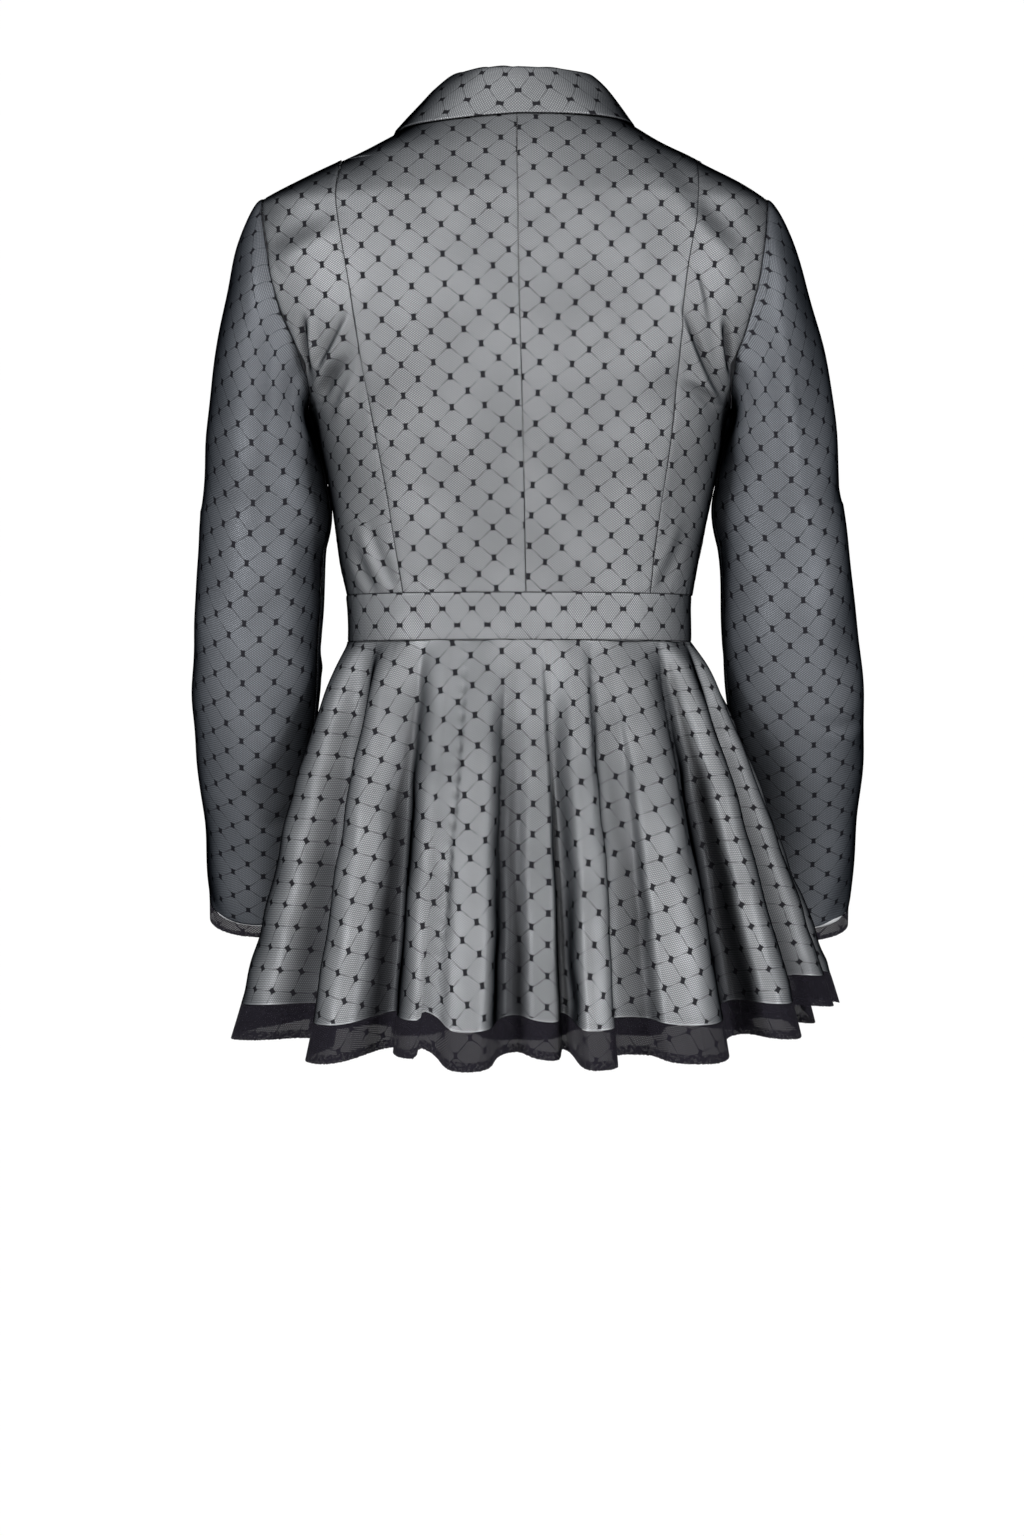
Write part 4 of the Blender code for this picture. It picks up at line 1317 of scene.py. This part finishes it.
# Each piece's flat cut, in metres and square metres, and how it is held.
Sheet = namedtuple("Sheet", "width length area held rests_on")
SHEETS = {
    "back_left": Sheet(0.191, 0.413, 0.0562, "draped", ["front_left"]),
    "back_right": Sheet(0.194, 0.411, 0.0564, "draped", ["front_right"]),
    "side_back_left": Sheet(0.154, 0.441, 0.0312, "draped", ["back_left"]),
    "side_back_right": Sheet(0.136, 0.437, 0.0288, "draped", ["back_right"]),
    "front_left": Sheet(0.241, 0.417, 0.0702, "draped", ["back_left"]),
    "front_right": Sheet(0.243, 0.417, 0.0704, "draped", ["back_right"]),
    "sleeve_left": Sheet(0.542, 0.622, 0.1783, "hung", ["back_left", "front_left"]),
    "sleeve_right": Sheet(0.540, 0.633, 0.1860, "hung", ["back_right", "front_right"]),
    "cuff_net_left": Sheet(0.267, 0.017, None, "hung", ["sleeve_left"]),
    "cuff_net_right": Sheet(0.272, 0.017, None, "hung", ["sleeve_right"]),
    "collar": Sheet(1.012, 0.090, 0.0622, "folded", ["back_left", "back_right"]),
    "waistband": Sheet(0.750, 0.038, None, "hung", ["back_left", "back_right"]),
    "peplum": Sheet(1.102, 0.704, 0.4087, "hung", ["waistband"]),
    "peplum_net_hem": Sheet(1.870, 0.030, None, "hung", ["peplum"]),
}

SIDES = (LEFT, RIGHT)
pieces = [*make_bodice(LEFT), *make_bodice(RIGHT), *map(make_sleeve, SIDES), *map(make_cuff, SIDES)]
pieces += [make_collar(), make_waistband(), *make_peplum()]
for piece in pieces:
    node = piece.name.removesuffix("_cloth")
    sheet = SHEETS[node]
    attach(piece, "root")
    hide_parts(node)
    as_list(sheet.rests_on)


# ---------------- studio

LAMPS = table(
    "name place aim size power",
    ("left_box", (2.6, 2.4, 0.5), (0, 0, -0.45), (0.7, 1.0), 129),
    ("right_box", (-2.6, 2.4, 0.5), (0, 0, -0.45), (0.7, 1.0), 116),
    ("key", (0.1, 3.9, 0.9), (0, 0, -0.45), (0.6, 0.6), 35),
    ("front", (0.3, -3.4, 0.6), (0, 0, -0.35), (1.8, 1.4), 60),
)
FLOOR_Z = -1.45
WORLD_STRENGTH = 0.12
LENS = 100.04
SENSOR_HEIGHT = 36
CAMERA_PLACE = (0.0049, 3.5, -0.531)


def placed(name, data, place, turn):
    thing = bpy.data.objects.new(name, data)
    thing.location, thing.rotation_euler = place, turn
    bpy.context.scene.collection.objects.link(thing)
    return thing


def area_light(lamp):
    light = bpy.data.lights.new(lamp.name, "AREA")
    light.shape = "RECTANGLE"
    light.size, light.size_y = lamp.size
    light.energy = lamp.power
    heading = Vector(np.array(lamp.aim) - np.array(lamp.place))
    placed(lamp.name, light, lamp.place, heading.to_track_quat("-Z", "Y").to_euler())


def plain_look(name, colour, glow):
    w = Wiring(name)
    return w.finish(
        {
            "Base Color": (*colour, 1),
            "Roughness": 0.9,
            "Emission Color": (1, 1, 1, 1),
            "Emission Strength": glow,
        }
    )


def make_stage():
    add = bpy.ops.mesh
    add.primitive_uv_sphere_add(segments=64, ring_count=32, radius=7.0, location=(0, 0, -0.5))
    dome = bpy.context.object
    dome.name = "backdrop"
    dome.data.materials.append(plain_look("backdrop", (0, 0, 0), 1.0))
    dome.visible_diffuse = dome.visible_glossy = dome.visible_shadow = False
    add.primitive_circle_add(vertices=96, radius=1.5, fill_type="NGON", location=(0, 0, FLOOR_Z))
    floor = bpy.context.object
    floor.name = "floor"
    floor.data.materials.append(plain_look("floor", (0.9, 0.9, 0.9), 0.25))


make_stage()
for lamp in LAMPS:
    area_light(lamp)

world = bpy.data.worlds.new("studio")
world.use_nodes = True
sky = world.node_tree.nodes["Background"].inputs
sky["Color"].default_value = (1, 1, 1, 1)
sky["Strength"].default_value = WORLD_STRENGTH
bpy.context.scene.world = world
bpy.context.scene.view_settings.view_transform = "Standard"

camera = bpy.data.cameras.new("camera")
camera.sensor_fit = "VERTICAL"
camera.sensor_height = SENSOR_HEIGHT
camera.lens = LENS
bpy.context.scene.camera = placed("camera", camera, CAMERA_PLACE, (np.pi / 2, 0, np.pi))
